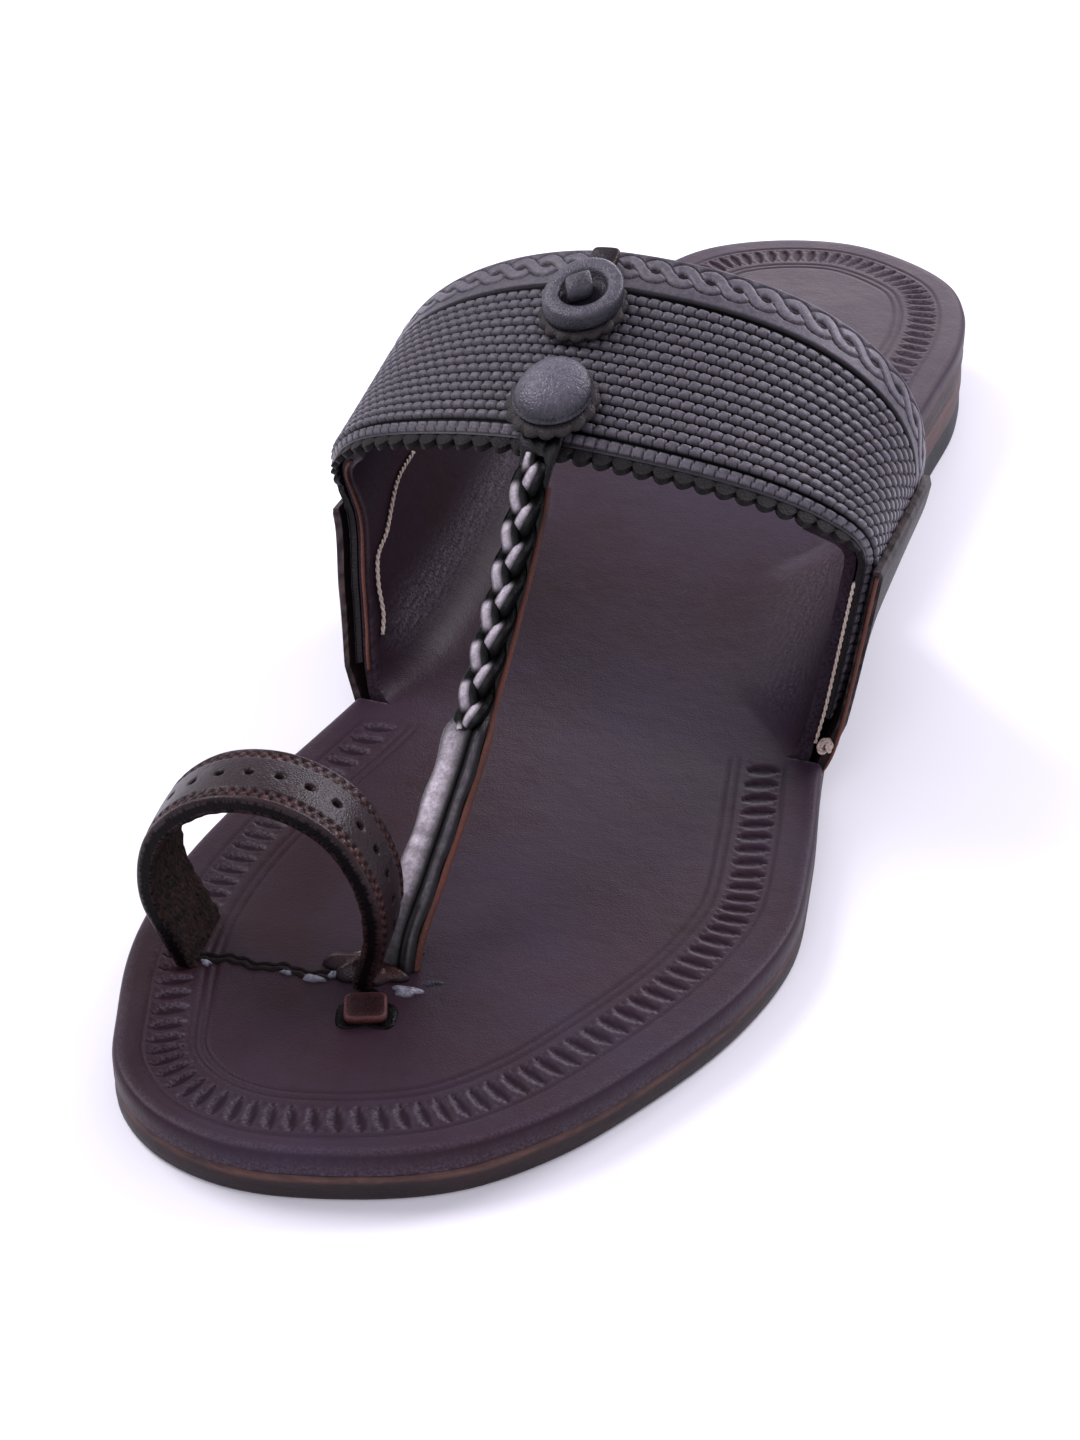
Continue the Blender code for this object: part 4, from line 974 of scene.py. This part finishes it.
def buildToeStrap():
    # Core: a flat folded strap, an oval section with a slit cut into its face. Plait: three strands on the
    # paths side = swing sin(q + 2 pi i / 3), height = lift sin(2 (q + 2 pi i / 3)), laid on the core's
    # upper half.
    line = strapLine(260)
    share = runOf(line) / runOf(line)[-1]
    upper = ease((share - strap["plaitFrom"]) / 0.05) * ease((strap["plaitTo"] + 0.03 - share) / 0.04)
    flatEnd = ease((share - 0.82) / 0.08)
    halfWide = 0.5 * (strap["width"] - strap["coreNarrower"] * upper)
    halfThick = 0.5 * (strap["thick"] + (strap["coreThick"] - strap["thick"]) * upper)
    halfThick = halfThick + (0.5 * strap["endThick"] - halfThick) * flatEnd
    side, normal = pathFrame(line)
    turn = np.linspace(0, 2 * pi, 48, endpoint=False)
    u = np.sign(np.cos(turn)) * abs(np.cos(turn)) ** 0.75
    w = np.sign(np.sin(turn)) * abs(np.sin(turn)) ** 0.75
    across = np.cos(turn) * (np.sin(turn) > 0) - 2.0 * (np.sin(turn) <= 0)
    # the slit is painted darker as shade in its recess
    slit = np.exp(-(((across - 0.36) / 0.09) ** 2))[None, :] * (1 - upper)[:, None]
    plump = 1 + 0.05 * np.sin(share[:, None] * 60) * np.cos(turn)[None, :] - 0.42 * slit
    drop = (-strap["coreDrop"] * upper)[:, None, None]
    loops = line[:, None] + side[:, None] * (u[None, :] * halfWide[:, None] * plump)[..., None]
    loops = loops + normal[:, None] * ((w[None, :] * halfThick[:, None] * plump)[..., None] + drop)
    # painted highlight on the lower half: a broad patch on the folded face and a strip beyond the slit, broken
    # along its length
    plane = ease((across + 0.95) / 0.40) * ease((0.16 - across) / 0.34)
    strip = 0.20 * np.exp(-(((across - 0.60) / 0.12) ** 2))
    broken = 0.80 + 0.14 * np.sin(90 * share + 3 * np.sin(31 * share)) + 0.10 * np.sin(210 * share)
    lowHalf = ease((0.44 - share) / 0.08) * (0.35 + 0.65 * ease((share - 0.02) / 0.14))
    lit = (plane + strip)[None, :] * (lowHalf * broken)[:, None]
    patches = sealed(loops, raised=1 - slit, worn=lit)
    makePiece("toe_strap_core", patches, glazedLeather, ("upper",))

    edge = line + side * (halfWide + 0.0001)[:, None] + normal * (0.0001 - strap["coreDrop"] * upper)[:, None]
    kept = slice(6, 214)
    patches = tube(edge[kept], 0.00050, (0.42 * halfThick)[kept])
    makePiece("strap_raw_edge", patches, rawEdge, ("upper",))

    part = (share > strap["plaitFrom"]) & (share < strap["plaitTo"])
    first, final = int(np.argmax(part)), len(part) - int(np.argmax(part[::-1]))
    fine = np.linspace(first, final - 1, 420)
    index = np.arange(len(line))
    centre = np.stack([np.interp(fine, index, line[:, k]) for k in range(3)], axis=1)
    sideFine = unit(np.stack([np.interp(fine, index, side[:, k]) for k in range(3)], axis=1))
    normalFine = unit(np.stack([np.interp(fine, index, normal[:, k]) for k in range(3)], axis=1))
    q = 2 * pi * strap["plaitPeriods"] * (fine - fine[0]) / (fine[-1] - fine[0])
    taper = ease(np.minimum(fine - fine[0], fine[-1] - fine) / 8)
    patches = []
    for i in range(3):
        angle = q + 2 * pi * i / 3
        swing = strap["plaitSwing"] * np.sin(angle) * (0.4 + 0.6 * taper)
        lift = strap["plaitUp"] + strap["plaitLift"] * np.sin(2 * angle)
        path = centre + sideFine * swing[:, None] + normalFine * lift[:, None]
        tangent = unit(np.gradient(path, axis=0))
        out = unit(normalFine - tangent * (normalFine * tangent).sum(axis=1, keepdims=True))
        beside = np.cross(tangent, out)
        ringTurn = np.linspace(0, 2 * pi, 14, endpoint=False)
        wide, thick = (strap[key] * (0.6 + 0.4 * taper) for key in ("strandWide", "strandThick"))
        strand = path[:, None] + beside[:, None] * (np.cos(ringTurn)[None, :] * wide[:, None])[..., None]
        strand = strand + out[:, None] * (np.sin(ringTurn)[None, :] * thick[:, None])[..., None]
        # painted light on the strands: darker as shade where a strand dives under and on its side turned from
        # the light, with a painted highlight streak on the lit side where it comes up
        high = ease((np.sin(2 * angle) + 0.2) / 1.0)[:, None]
        shade = (0.04 + 0.96 * high**2) * ease((np.sin(ringTurn - 0.5) + 0.1) / 0.9)[None, :]
        highlightStreak = high**3 * ease((np.sin(ringTurn - 0.5) - 0.80) / 0.19)[None, :]
        patches += sealed(strand, raised=shade, worn=0.85 * highlightStreak)
    makePiece("toe_strap_plait", patches, glazedLeather, ("upper",))


print("toe strap")
buildToeStrap()


# Toe loop
loop = {
    "strap": 0.0125,
    "wall": 0.0027,
    "width": 0.0350,
    "height": 0.0300,
    "x": -0.0187,
    "y": -0.0982,
    "turn": radians(7),
    "dotPitch": 1.45,  # millimetres
    "holePitch": 4.0,
    # across, up
    "line": (
        (-0.29, -0.08),
        (-0.36, 0.10),
        (-0.455, 0.38),
        (-0.41, 0.70),
        (-0.20, 0.92),
        (0.06, 0.955),
        (0.29, 0.83),
        (0.43, 0.56),
        (0.455, 0.25),
        (0.41, 0.04),
        (0.395, -0.08),
    ),
}


def buildToeLoop():
    # A flat strap set on edge round a horseshoe line. Outer face: a channel with two rows of beads near
    # each edge, and a row of punched holes between them. Inner face: rough flesh side with a scalloped rear
    # edge.
    base = outsoleTop(loop["y"]) + shoe["footbed"]
    plan = pathThrough([(a * loop["width"], base + u * loop["height"]) for a, u in loop["line"]], 330)
    tangent = unit(np.gradient(plan, axis=0))
    out = np.stack([-tangent[:, 1], tangent[:, 0]], axis=1)
    run = runOf(plan) * 1000
    half = loop["strap"] * 500
    level = np.linspace(-half + 0.4, half - 0.4, 42)
    across = np.concatenate([[-half, -half + 0.15], level, [half - 0.15, half]])
    edge = half - abs(across)
    w = across[None, :]
    s = run[:, None]

    def dots(centre, pitch, radius, shift=0.0):
        a = (s / pitch + shift - np.round(s / pitch + shift)) * pitch
        return np.exp(-((a**2 + (w - centre) ** 2) / radius**2))

    channel = ease((0.95 - abs(abs(w) - half + 1.75)) / 0.25)
    beadRows = ((-half + 1.35, 0), (half - 1.35, 0), (-half + 2.2, 0.5), (half - 2.2, 0.5))
    beads = sum(dots(centre, loop["dotPitch"], 0.44, shift) for centre, shift in beadRows)
    holes = dots(0.0, loop["holePitch"], 0.50)
    depth = channel * (0.34 - 0.34 * np.clip(beads, 0, 1)) + 0.9 * np.clip(holes * 1.5, 0, 1) ** 1.5
    swell = 0.22 * (1 - (w / half) ** 2)
    thickOut = loop["wall"] * 500 + swell - 1000 * roundOff(edge[None, :] / 1000, 0.0006) - depth
    rough = 0.10 * np.sin(s * 2.1 + 3 * np.sin(w * 1.3)) * np.sin(w * 2.9 + s * 0.7)
    thickIn = -(loop["wall"] * 500) + 1000 * roundOff(edge[None, :] / 1000, 0.0006) + rough * (edge > 0.3)
    ahead = np.array([cos(loop["turn"]), sin(loop["turn"])])
    deep = np.array([-sin(loop["turn"]), cos(loop["turn"])])
    floorZ = outsoleTop(loop["y"]) + shoe["gap"]

    def placed(thick, scallop=0.0):
        px = plan[:, :1] + out[:, :1] * thick / 1000
        pz = np.maximum(plan[:, 1:] + out[:, 1:] * thick / 1000, floorZ)
        reach = (w + scallop * (w > half - 0.5)) / 1000
        x = loop["x"] + px * ahead[0] + reach * deep[0]
        y = loop["y"] + px * ahead[1] + reach * deep[1]
        return np.stack(np.broadcast_arrays(x, y, pz), axis=-1)

    scallop = 0.45 * abs(np.sin(pi * s / 2.6))
    outer, inner = placed(thickOut), placed(thickIn, scallop)
    # the channel and the holes are painted darker as shade; the beads show red-brown under worn dye, the rim
    # line along the front edge is a painted highlight, and outside the channel the face is a little lighter
    raised = 1 - np.clip(depth / 0.34, 0, 1)
    rimLit = np.exp(-(((w + half - 0.35) / 0.22) ** 2)) * 0.15
    outerWearAndSheen = channel * 0.85 * raised + rimLit + 0.12 * (1 - channel)
    patches = [(outer, {"raised": raised, "worn": outerWearAndSheen})]
    rows = np.linspace(0, 1, 6)
    for k in (0, -1):
        patches.append(wall(outer[:, k], inner[:, k], {"raised": 0.25}, rows))
        patches.append(wall(outer[k], inner[k], {"worn": 0.1}, rows))
    patches.append((inner, {"raised": 0.8, "worn": 0.32}))
    piece = makePiece("toe_loop", patches, loopLeather, ("upper",))
    piece.data.materials.append(fleshLeather)
    faces = piece.data.polygons
    normals = np.empty(len(faces) * 3, np.float32)
    centres = np.empty(len(faces) * 3, np.float32)
    faces.foreach_get("normal", normals)
    faces.foreach_get("center", centres)
    normals, centres = normals.reshape(-1, 3), centres.reshape(-1, 3)
    middle = np.array([loop["x"] + shoe["movedBy"][0], loop["y"], base + 0.5 * loop["height"]])
    inwardFace = (normals * (middle - centres))[:, [0, 2]].sum(axis=1) > 0.004
    faces.foreach_set("material_index", inwardFace.astype(np.int32))


print("toe loop")
buildToeLoop()


# Buttons
button = {
    "domeRadius": 0.0060,
    "domeHeight": 0.0030,
    "domeWasher": 0.0071,
    "discX": -0.0038,
    "discY": -0.0097,
    "discRadius": 0.0062,
    "discThick": 0.0027,
    "recessRadius": 0.0036,
    "recessDepth": 0.0014,
    "discWasher": 0.0069,
    "washerThick": 0.0013,
    "scallops": 16,
    "scallopDeep": 0.0006,
    "borderClear": 0.0008,
    "wrinkle": 0.00005,
}


def onBand(x, y, height):
    return np.stack([x, y, bandZ(x, y) + height], axis=-1)


def turnedOnBand(
    name, centre, profile, material, slotName, node, scallops=0, wrinkle=0.0, segments=96, recessRadius=0.0
):
    # Rings of a radius and a height over the band's face, closed at both poles. Scallops pull the radius in
    # by a cosine round the rim; wrinkles lift the face by a sine that wanders, and their troughs are painted
    # darker as shade; a recess is painted darker as shade.
    turn = np.linspace(0, 2 * pi, segments, endpoint=False)[None, :]
    rows = np.array([(0.0, profile[0][1], profile[0][2]), *profile, (0.0, profile[-1][1], profile[-1][2])])
    radius, height, worn = (rows[:, k : k + 1] for k in range(3))
    pulled = button["scallopDeep"] * (1 - abs(np.sin(scallops * turn / 2))) * (radius > 0.004)
    px, py = ((radius - pulled * (scallops > 0)) * wave for wave in (np.cos(turn), np.sin(turn)))
    fold = np.sin(6200 * px + 1.5 * np.sin(3900 * py)) * np.sin(5600 * py + 1.5 * np.sin(4700 * px))
    lift = wrinkle * fold * np.clip(np.arange(len(rows))[:, None] - 4, 0, 2) / 2
    grid = onBand(centre[0] + px, centre[1] + py, height + lift)
    recess = ease((recessRadius - radius) / 0.0004)
    raised = np.ones_like(px) - 0.45 * ease(-2 * fold) * (wrinkle > 0) - 0.85 * recess
    makePiece(name, [(wrapped(grid), {"raised": wrapped(raised), "worn": worn})], material, (node,))


def buildWasher(key, centre, under):  # a scalloped washer; gives the height of the seat on it
    radius, top = button[key + "Washer"], under + button["washerThick"]
    profile = (
        (radius * 0.5, under, 0),
        (radius - 0.0004, under, 0),
        (radius, under + 0.0004, 0.1),
        (radius, top - 0.0004, 0.15),
        (radius - 0.0004, top, 0.2),
        (radius * 0.6, top, 0.0),
    )
    looks = (liningLeather, "washer_leather", key + "_washer", button["scallops"])
    turnedOnBand(key + "_washer_leather", centre, profile, *looks)
    return top + shoe["gap"]


def buildButtons():  # gives the height of the disc's recess
    centre = (strap["domeX"], strap["domeY"])
    base = buildWasher("dome", centre, strap["end"] + 2 * shoe["gap"])
    r, h = button["domeRadius"], button["domeHeight"]
    profile = [
        (r * 0.5, base, 0),
        (r - 0.0004, base, 0.1),
        (r - 0.00005, base + 0.0002, 0.2),
        (r, base + 0.0005, 0.25),
        (r - 0.0003, base + 0.0008, 0.1),
    ]
    # lighter up the dome: rubbed grey and a painted highlight on its top
    for a in np.linspace(0.1, 1.52, 20):
        profile.append((r * 0.965 * cos(a), base + 0.0006 + h * sin(a), 0.05 + 0.85 * ease(a / 1.1)))
    looks = (buttonLeather, "button_leather", "dome_button", 0, button["wrinkle"], 160)
    turnedOnBand("dome_button_leather", centre, profile, *looks)

    centre = (button["discX"], button["discY"])
    base = buildWasher("disc", centre, button["borderClear"])
    r, q, top = button["discRadius"], button["recessRadius"], base + button["discThick"]
    recessFloor = top - button["recessDepth"]
    # the last column lights the rim's top edge: a painted highlight
    profile = (
        (r * 0.5, base, 0.0),
        (r - 0.0004, base, 0.0),
        (r - 0.0001, base + 0.0002, 0.0),
        (r, base + 0.0007, 0.1),
        (r, top - 0.0006, 0.1),
        (r - 0.0002, top - 0.0002, 0.35),
        (r - 0.0006, top - 0.00005, 0.5),
        (r - 0.0012, top, 0.5),
        (q + 0.0005, top - 0.0001, 0.45),
        (q + 0.0002, top - 0.00025, 0.3),
        (q, top - 0.0006, 0.0),
        (q - 0.0002, recessFloor, 0.0),
        (q * 0.5, recessFloor, 0.0),
    )
    looks = (buttonLeather, "button_leather", "disc_button")
    turnedOnBand("disc_button_leather", centre, profile, *looks, recessRadius=q)
    return recessFloor


def softBox(name, centre, size, height, turn, material, node, bulge, worn, onFootbed=False):
    # A small pillow of leather: |u|^6 + |v|^6 sections that shrink towards the top and the bottom.
    a = np.linspace(0, 2 * pi, 64, endpoint=False)[None, :]
    rows = np.array([  # share of the plan, share of the height, wear and painted sheen, lightest on the upper shoulder
        (0.0, 0, 0),
        (0.80, 0, 0.2),
        (0.96, 0.12, 0.3),
        (1.0, 0.4, 0.3),
        (0.99, 0.76, 0.9),
        (0.92, 0.95, 1.0),
        (0.84, 0.99, 0.15),
        (0.5, 1.0 + 0.15 * bulge, 0),
        (0.0, 1.0 + 0.3 * bulge, 0),
    ])
    grow, up, look = (rows[:, k : k + 1] for k in range(3))
    cx, sx = np.cos(a), np.sin(a)
    shape = (abs(cx) ** 6 + abs(sx) ** 6) ** (-1 / 6)
    u, v = 0.5 * size[0] * grow * cx * shape, 0.5 * size[1] * grow * sx * shape
    x = centre[0] + u * cos(turn) - v * sin(turn)
    y = centre[1] + u * sin(turn) + v * cos(turn)
    level = height + up * size[2]
    grid = np.stack([x, y, footbedTop(y) + level], axis=-1) if onFootbed else onBand(x, y, level)
    makePiece(name, [(wrapped(grid), {"worn": worn * look})], material, (node,), 60)


print("buttons")
recessFloor = buildButtons()
knotAt = (button["discX"] - 0.0006, button["discY"] - 0.0002)
softBox(
    "knot_leather", knotAt, (0.0040, 0.0034, 0.0026), recessFloor, radians(28),
    buttonLeather, "thong_knot", 0.5, 0.4,
)
tabAt = (button["discX"], button["discY"] + button["discWasher"] + shoe["gap"] + 0.0022)
softBox(
    "tab_leather", tabAt, (0.0046, 0.0044, 0.0016), button["borderClear"], 0.0,
    loopLeather, "thong_tab", 0.3, 0.3,
)
pegAt = (strap["postX"] + 0.0004, strap["postY"] - 0.0107)
softBox(
    "peg_leather", pegAt, (0.0060, 0.0058, 0.0014), shoe["gap"], radians(22),
    pegLeather, "peg_tab", -0.3, 0.55, True,
)


# Threads and small fittings
thread = {"medial": 0.00032, "lateral": 0.00026, "knot": 0.00042, "twist": 2.4}  # radii in metres, twist in mm


def buildThread(name, points, r, count=90):  # two plies twisted round each other along a path
    line = pathThrough(points, count)
    side, normal = pathFrame(line, (0.3, 1.0, 0.2))
    run = runOf(line) * 1000
    patches = []
    for i in range(2):
        q = 2 * pi * run / thread["twist"] + pi * i
        ply = line + side * (0.55 * r * np.cos(q))[:, None] + normal * (0.55 * r * np.sin(q))[:, None]
        patches += tube(ply, 0.62 * r, 0.62 * r, 7, (0.3, 1.0, 0.2))
    makePiece(name, patches, threadCotton)


def earPoint(place, share, off):
    return onLast(place, float(plyY(place, share)), off)


print("threads")
# Rows of place round the last and share of the ear's width
medialThread = (
    (0.98, 0.633), (0.94, 0.362), (0.88, 0.25), (0.82, 0.171),
    (0.77, 0.065), (0.68, 0.05), (0.55, 0.055), (0.48, 0.04),
)
lateralThread = (
    (3.06, -0.006), (3.18, -0.004), (3.32, -0.008), (3.46, -0.005),
    (3.58, -0.009), (3.68, -0.006), (3.735, -0.012),
)
buildThread("thread_medial_ear", [earPoint(p, s, -0.0004) for p, s in medialThread], thread["medial"])
buildThread("thread_lateral_ear", [earPoint(p, s, 0.0021) for p, s in lateralThread], thread["lateral"])
q = np.linspace(0, 4.4 * pi, 60)
winding = np.stack([np.cos(q), np.sin(1.7 * q), np.sin(q)], axis=1)
knotLine = earPoint(3.72, -0.020, 0.0036) + 0.00075 * winding
buildThread("thread_lateral_knot", knotLine, thread["knot"], 160)

# Raw brown edges of the ears' plies, seen from the front
for name, places, offset in (
    ("raw_edge_medial", np.linspace(0.35, 1.28, 60), 0.0009),
    ("raw_edge_lateral", np.linspace(3.97, 3.02, 60), 0.0053),
):
    line = onLast(places, frontEdge(places), offset) - np.array([0, 0.0001, 0])
    wander = 1 + 0.35 * np.sin(np.linspace(0, 23, 60)) * np.sin(np.linspace(0, 9, 60))
    makePiece(name, tube(line, 0.00042 * wander, 0.00030, 8, (0.0, 1.0, 0.0)), rawEdge)

# The loop's slot in the footbed and what oozed out of it
slot = {"from": (-0.0325, -0.1031), "to": (-0.0080, -0.1012), "lip": 0.00034}


def onSole(x, y, up):
    return np.stack([x, y, footbedTop(y) + up], axis=-1)


def buildSlot():  # two dark lips along the slot, wavering by a sum of sines; their dark colour paints the shadow in the slit
    t = np.linspace(0, 1, 140)
    wave = 0.00035 * np.sin(21 * t) + 0.0002 * np.sin(57 * t + 1)
    x = slot["from"][0] + (slot["to"][0] - slot["from"][0]) * t
    y = slot["from"][1] + (slot["to"][1] - slot["from"][1]) * t + wave
    taper = ease(np.minimum(t, 1 - t) / 0.06)
    patches = []
    for aside, wide, high in ((-0.0006, 1.2, 1.0), (0.0006, 1.0, 0.9)):
        bead = 1 + 0.14 * np.sin(75 * t + 3 * aside * 1e3)
        line = onSole(x, y + aside, 0.0)
        size = slot["lip"] * (0.3 + 0.7 * taper) * bead
        patches += tube(line, wide * size, high * size, 9, (0.0, 1.0, 0.0))
    makePiece("slot_lips_shadow", patches, fleshLeather)


def buildBlob(name, spots, material, seed=0.0):
    # Low mounds: r(turn) = 1 + 0.18 sin(3 turn + p) + 0.10 sin(5 turn + 2p), height (1 - d^2)^0.6. A mound
    # with wear is lighter towards its middle, wear and a painted glint; one without is darker.
    patches = []
    for k, (x, y, long, wide, high, turn, wearAndGlint) in enumerate(spots):
        a = np.linspace(0, 2 * pi, 40)[None, :]
        d = np.array([0.0, 0.25, 0.5, 0.7, 0.85, 0.95, 1.0])[::-1, None]
        p = seed + 1.7 * k
        rim = 1 + 0.18 * np.sin(3 * a + p) + 0.10 * np.sin(5 * a + 2 * p)
        px, py = 0.5 * long * d * rim * np.cos(a), 0.5 * wide * d * rim * np.sin(a)
        gx = x + px * np.cos(turn) - py * np.sin(turn)
        gy = y + px * np.sin(turn) + py * np.cos(turn)
        lumps = 1 + 0.25 * np.sin(4 * a + 3 * p + 5 * d) * d
        top = onSole(gx, gy, high * (1 - d**2) ** 0.6 * lumps)
        low = onSole(gx, gy, -0.0004 + 0 * gx)
        top[..., 2] = np.where(d < 1, top[..., 2], low[..., 2])
        patches += [(top, {"raised": 1.0 if wearAndGlint else 0.15, "worn": wearAndGlint * (1 - d**2)}), (low[::-1], {})]
    makePiece(name, patches, material)


buildSlot()
# Rows of x, y, length, width, height, turn, and wear with its painted glint
lumps = (
    (-0.0062, -0.0985, 0.0085, 0.0060, 0.0024, 0.3, 0.5),
    (-0.0024, -0.0985, 0.0070, 0.0050, 0.0015, 0.2, 0.9),
    # this row is a dark flat patch under and round the peg tab, a painted shadow
    (-0.0012, -0.1068, 0.0088, 0.0084, 0.0007, 0.4, 0.0),
)
flecks = (
    (0.0022, -0.1008, 0.0042, 0.0024, 0.0006, 0.2, 0.8),
    (0.0050, -0.0978, 0.0030, 0.0012, 0.0002, 0.5, 0.0),
    (-0.0293, -0.1037, 0.0026, 0.0012, 0.0006, 0.1, 0.9),
    (-0.0266, -0.1042, 0.0018, 0.0010, 0.0005, -0.2, 0.8),
    (-0.0110, -0.1026, 0.0034, 0.0013, 0.0007, 0.1, 0.7),
    (-0.0085, -0.1010, 0.0022, 0.0013, 0.0009, 0.5, 0.6),
    (-0.0150, -0.1026, 0.0020, 0.0007, 0.0005, 0.0, 0.5),
)
buildBlob("post_lump", lumps, loopLeather)
buildBlob("glue_flecks", flecks, driedGlue, 0.6)

# Floor, light and camera
floorMaterial = bpy.data.materials.new("white_paper_floor")
floorMaterial.use_nodes = True
floorShader = floorMaterial.node_tree.nodes["Principled BSDF"]
floorShader.inputs["Base Color"].default_value = (0.92, 0.92, 0.94, 1)
floorShader.inputs["Roughness"].default_value = 0.9
floorMesh = bpy.data.meshes.new("paper_floor")
floorMesh.from_pydata([(-4, -4, 0), (4, -4, 0), (4, 4, 0), (-4, 4, 0)], [], [(0, 1, 2, 3)])
floorMesh.materials.append(floorMaterial)
paperFloor = bpy.data.objects.new("paper_floor", floorMesh)
bpy.context.collection.objects.link(paperFloor)

world = bpy.data.worlds.new("studio")
bpy.context.scene.world = world
world.use_nodes = True
world.node_tree.nodes["Background"].inputs["Color"].default_value = (0.95, 0.92, 1.06, 1)
world.node_tree.nodes["Background"].inputs["Strength"].default_value = 0.62


def aim(item, target):  # turns an object's -Z axis towards a point
    away = Vector(target) - Vector(item.location)
    item.rotation_euler = away.to_track_quat("-Z", "Y").to_euler()


lamps = {  # place, size, power, colour
    "key_softbox": ((-0.95, 0.15, 1.05), 0.8, 13.0, (0.99, 0.95, 1.04)),
    "back_softbox": ((0.55, 0.95, 0.80), 0.6, 11.0, (0.98, 0.94, 1.05)),
    "heel_softbox": ((-0.20, 1.20, 0.42), 0.5, 3.4, (0.98, 0.93, 1.06)),
    "front_softbox": ((0.2, -1.1, 1.1), 1.0, 5.0, (0.98, 0.94, 1.05)),
}
for lampName, (where, size, power, colour) in lamps.items():
    lamp = bpy.data.lights.new(lampName, "AREA")
    lamp.shape = "DISK"
    lamp.size = size
    lamp.energy = power
    lamp.color = colour
    lampObject = bpy.data.objects.new(lampName, lamp)
    lampObject.location = where
    bpy.context.collection.objects.link(lampObject)
    aim(lampObject, (0, -0.02, 0.03))

view = {"place": (0.1292, -0.4017, 0.2664), "target": (-0.0012, -0.0430, 0.0170), "lens": 75.0, "sensor": 36.0}
camera = bpy.data.objects.new("camera", bpy.data.cameras.new("camera"))
bpy.context.collection.objects.link(camera)
camera.location = Vector(view["place"]) + Vector(shoe["movedBy"])
aim(camera, view["target"])
camera.data.lens = view["lens"]
camera.data.sensor_width = view["sensor"]
camera.data.clip_start = 0.01
bpy.context.scene.camera = camera
bpy.context.scene.view_settings.view_transform = "Standard"
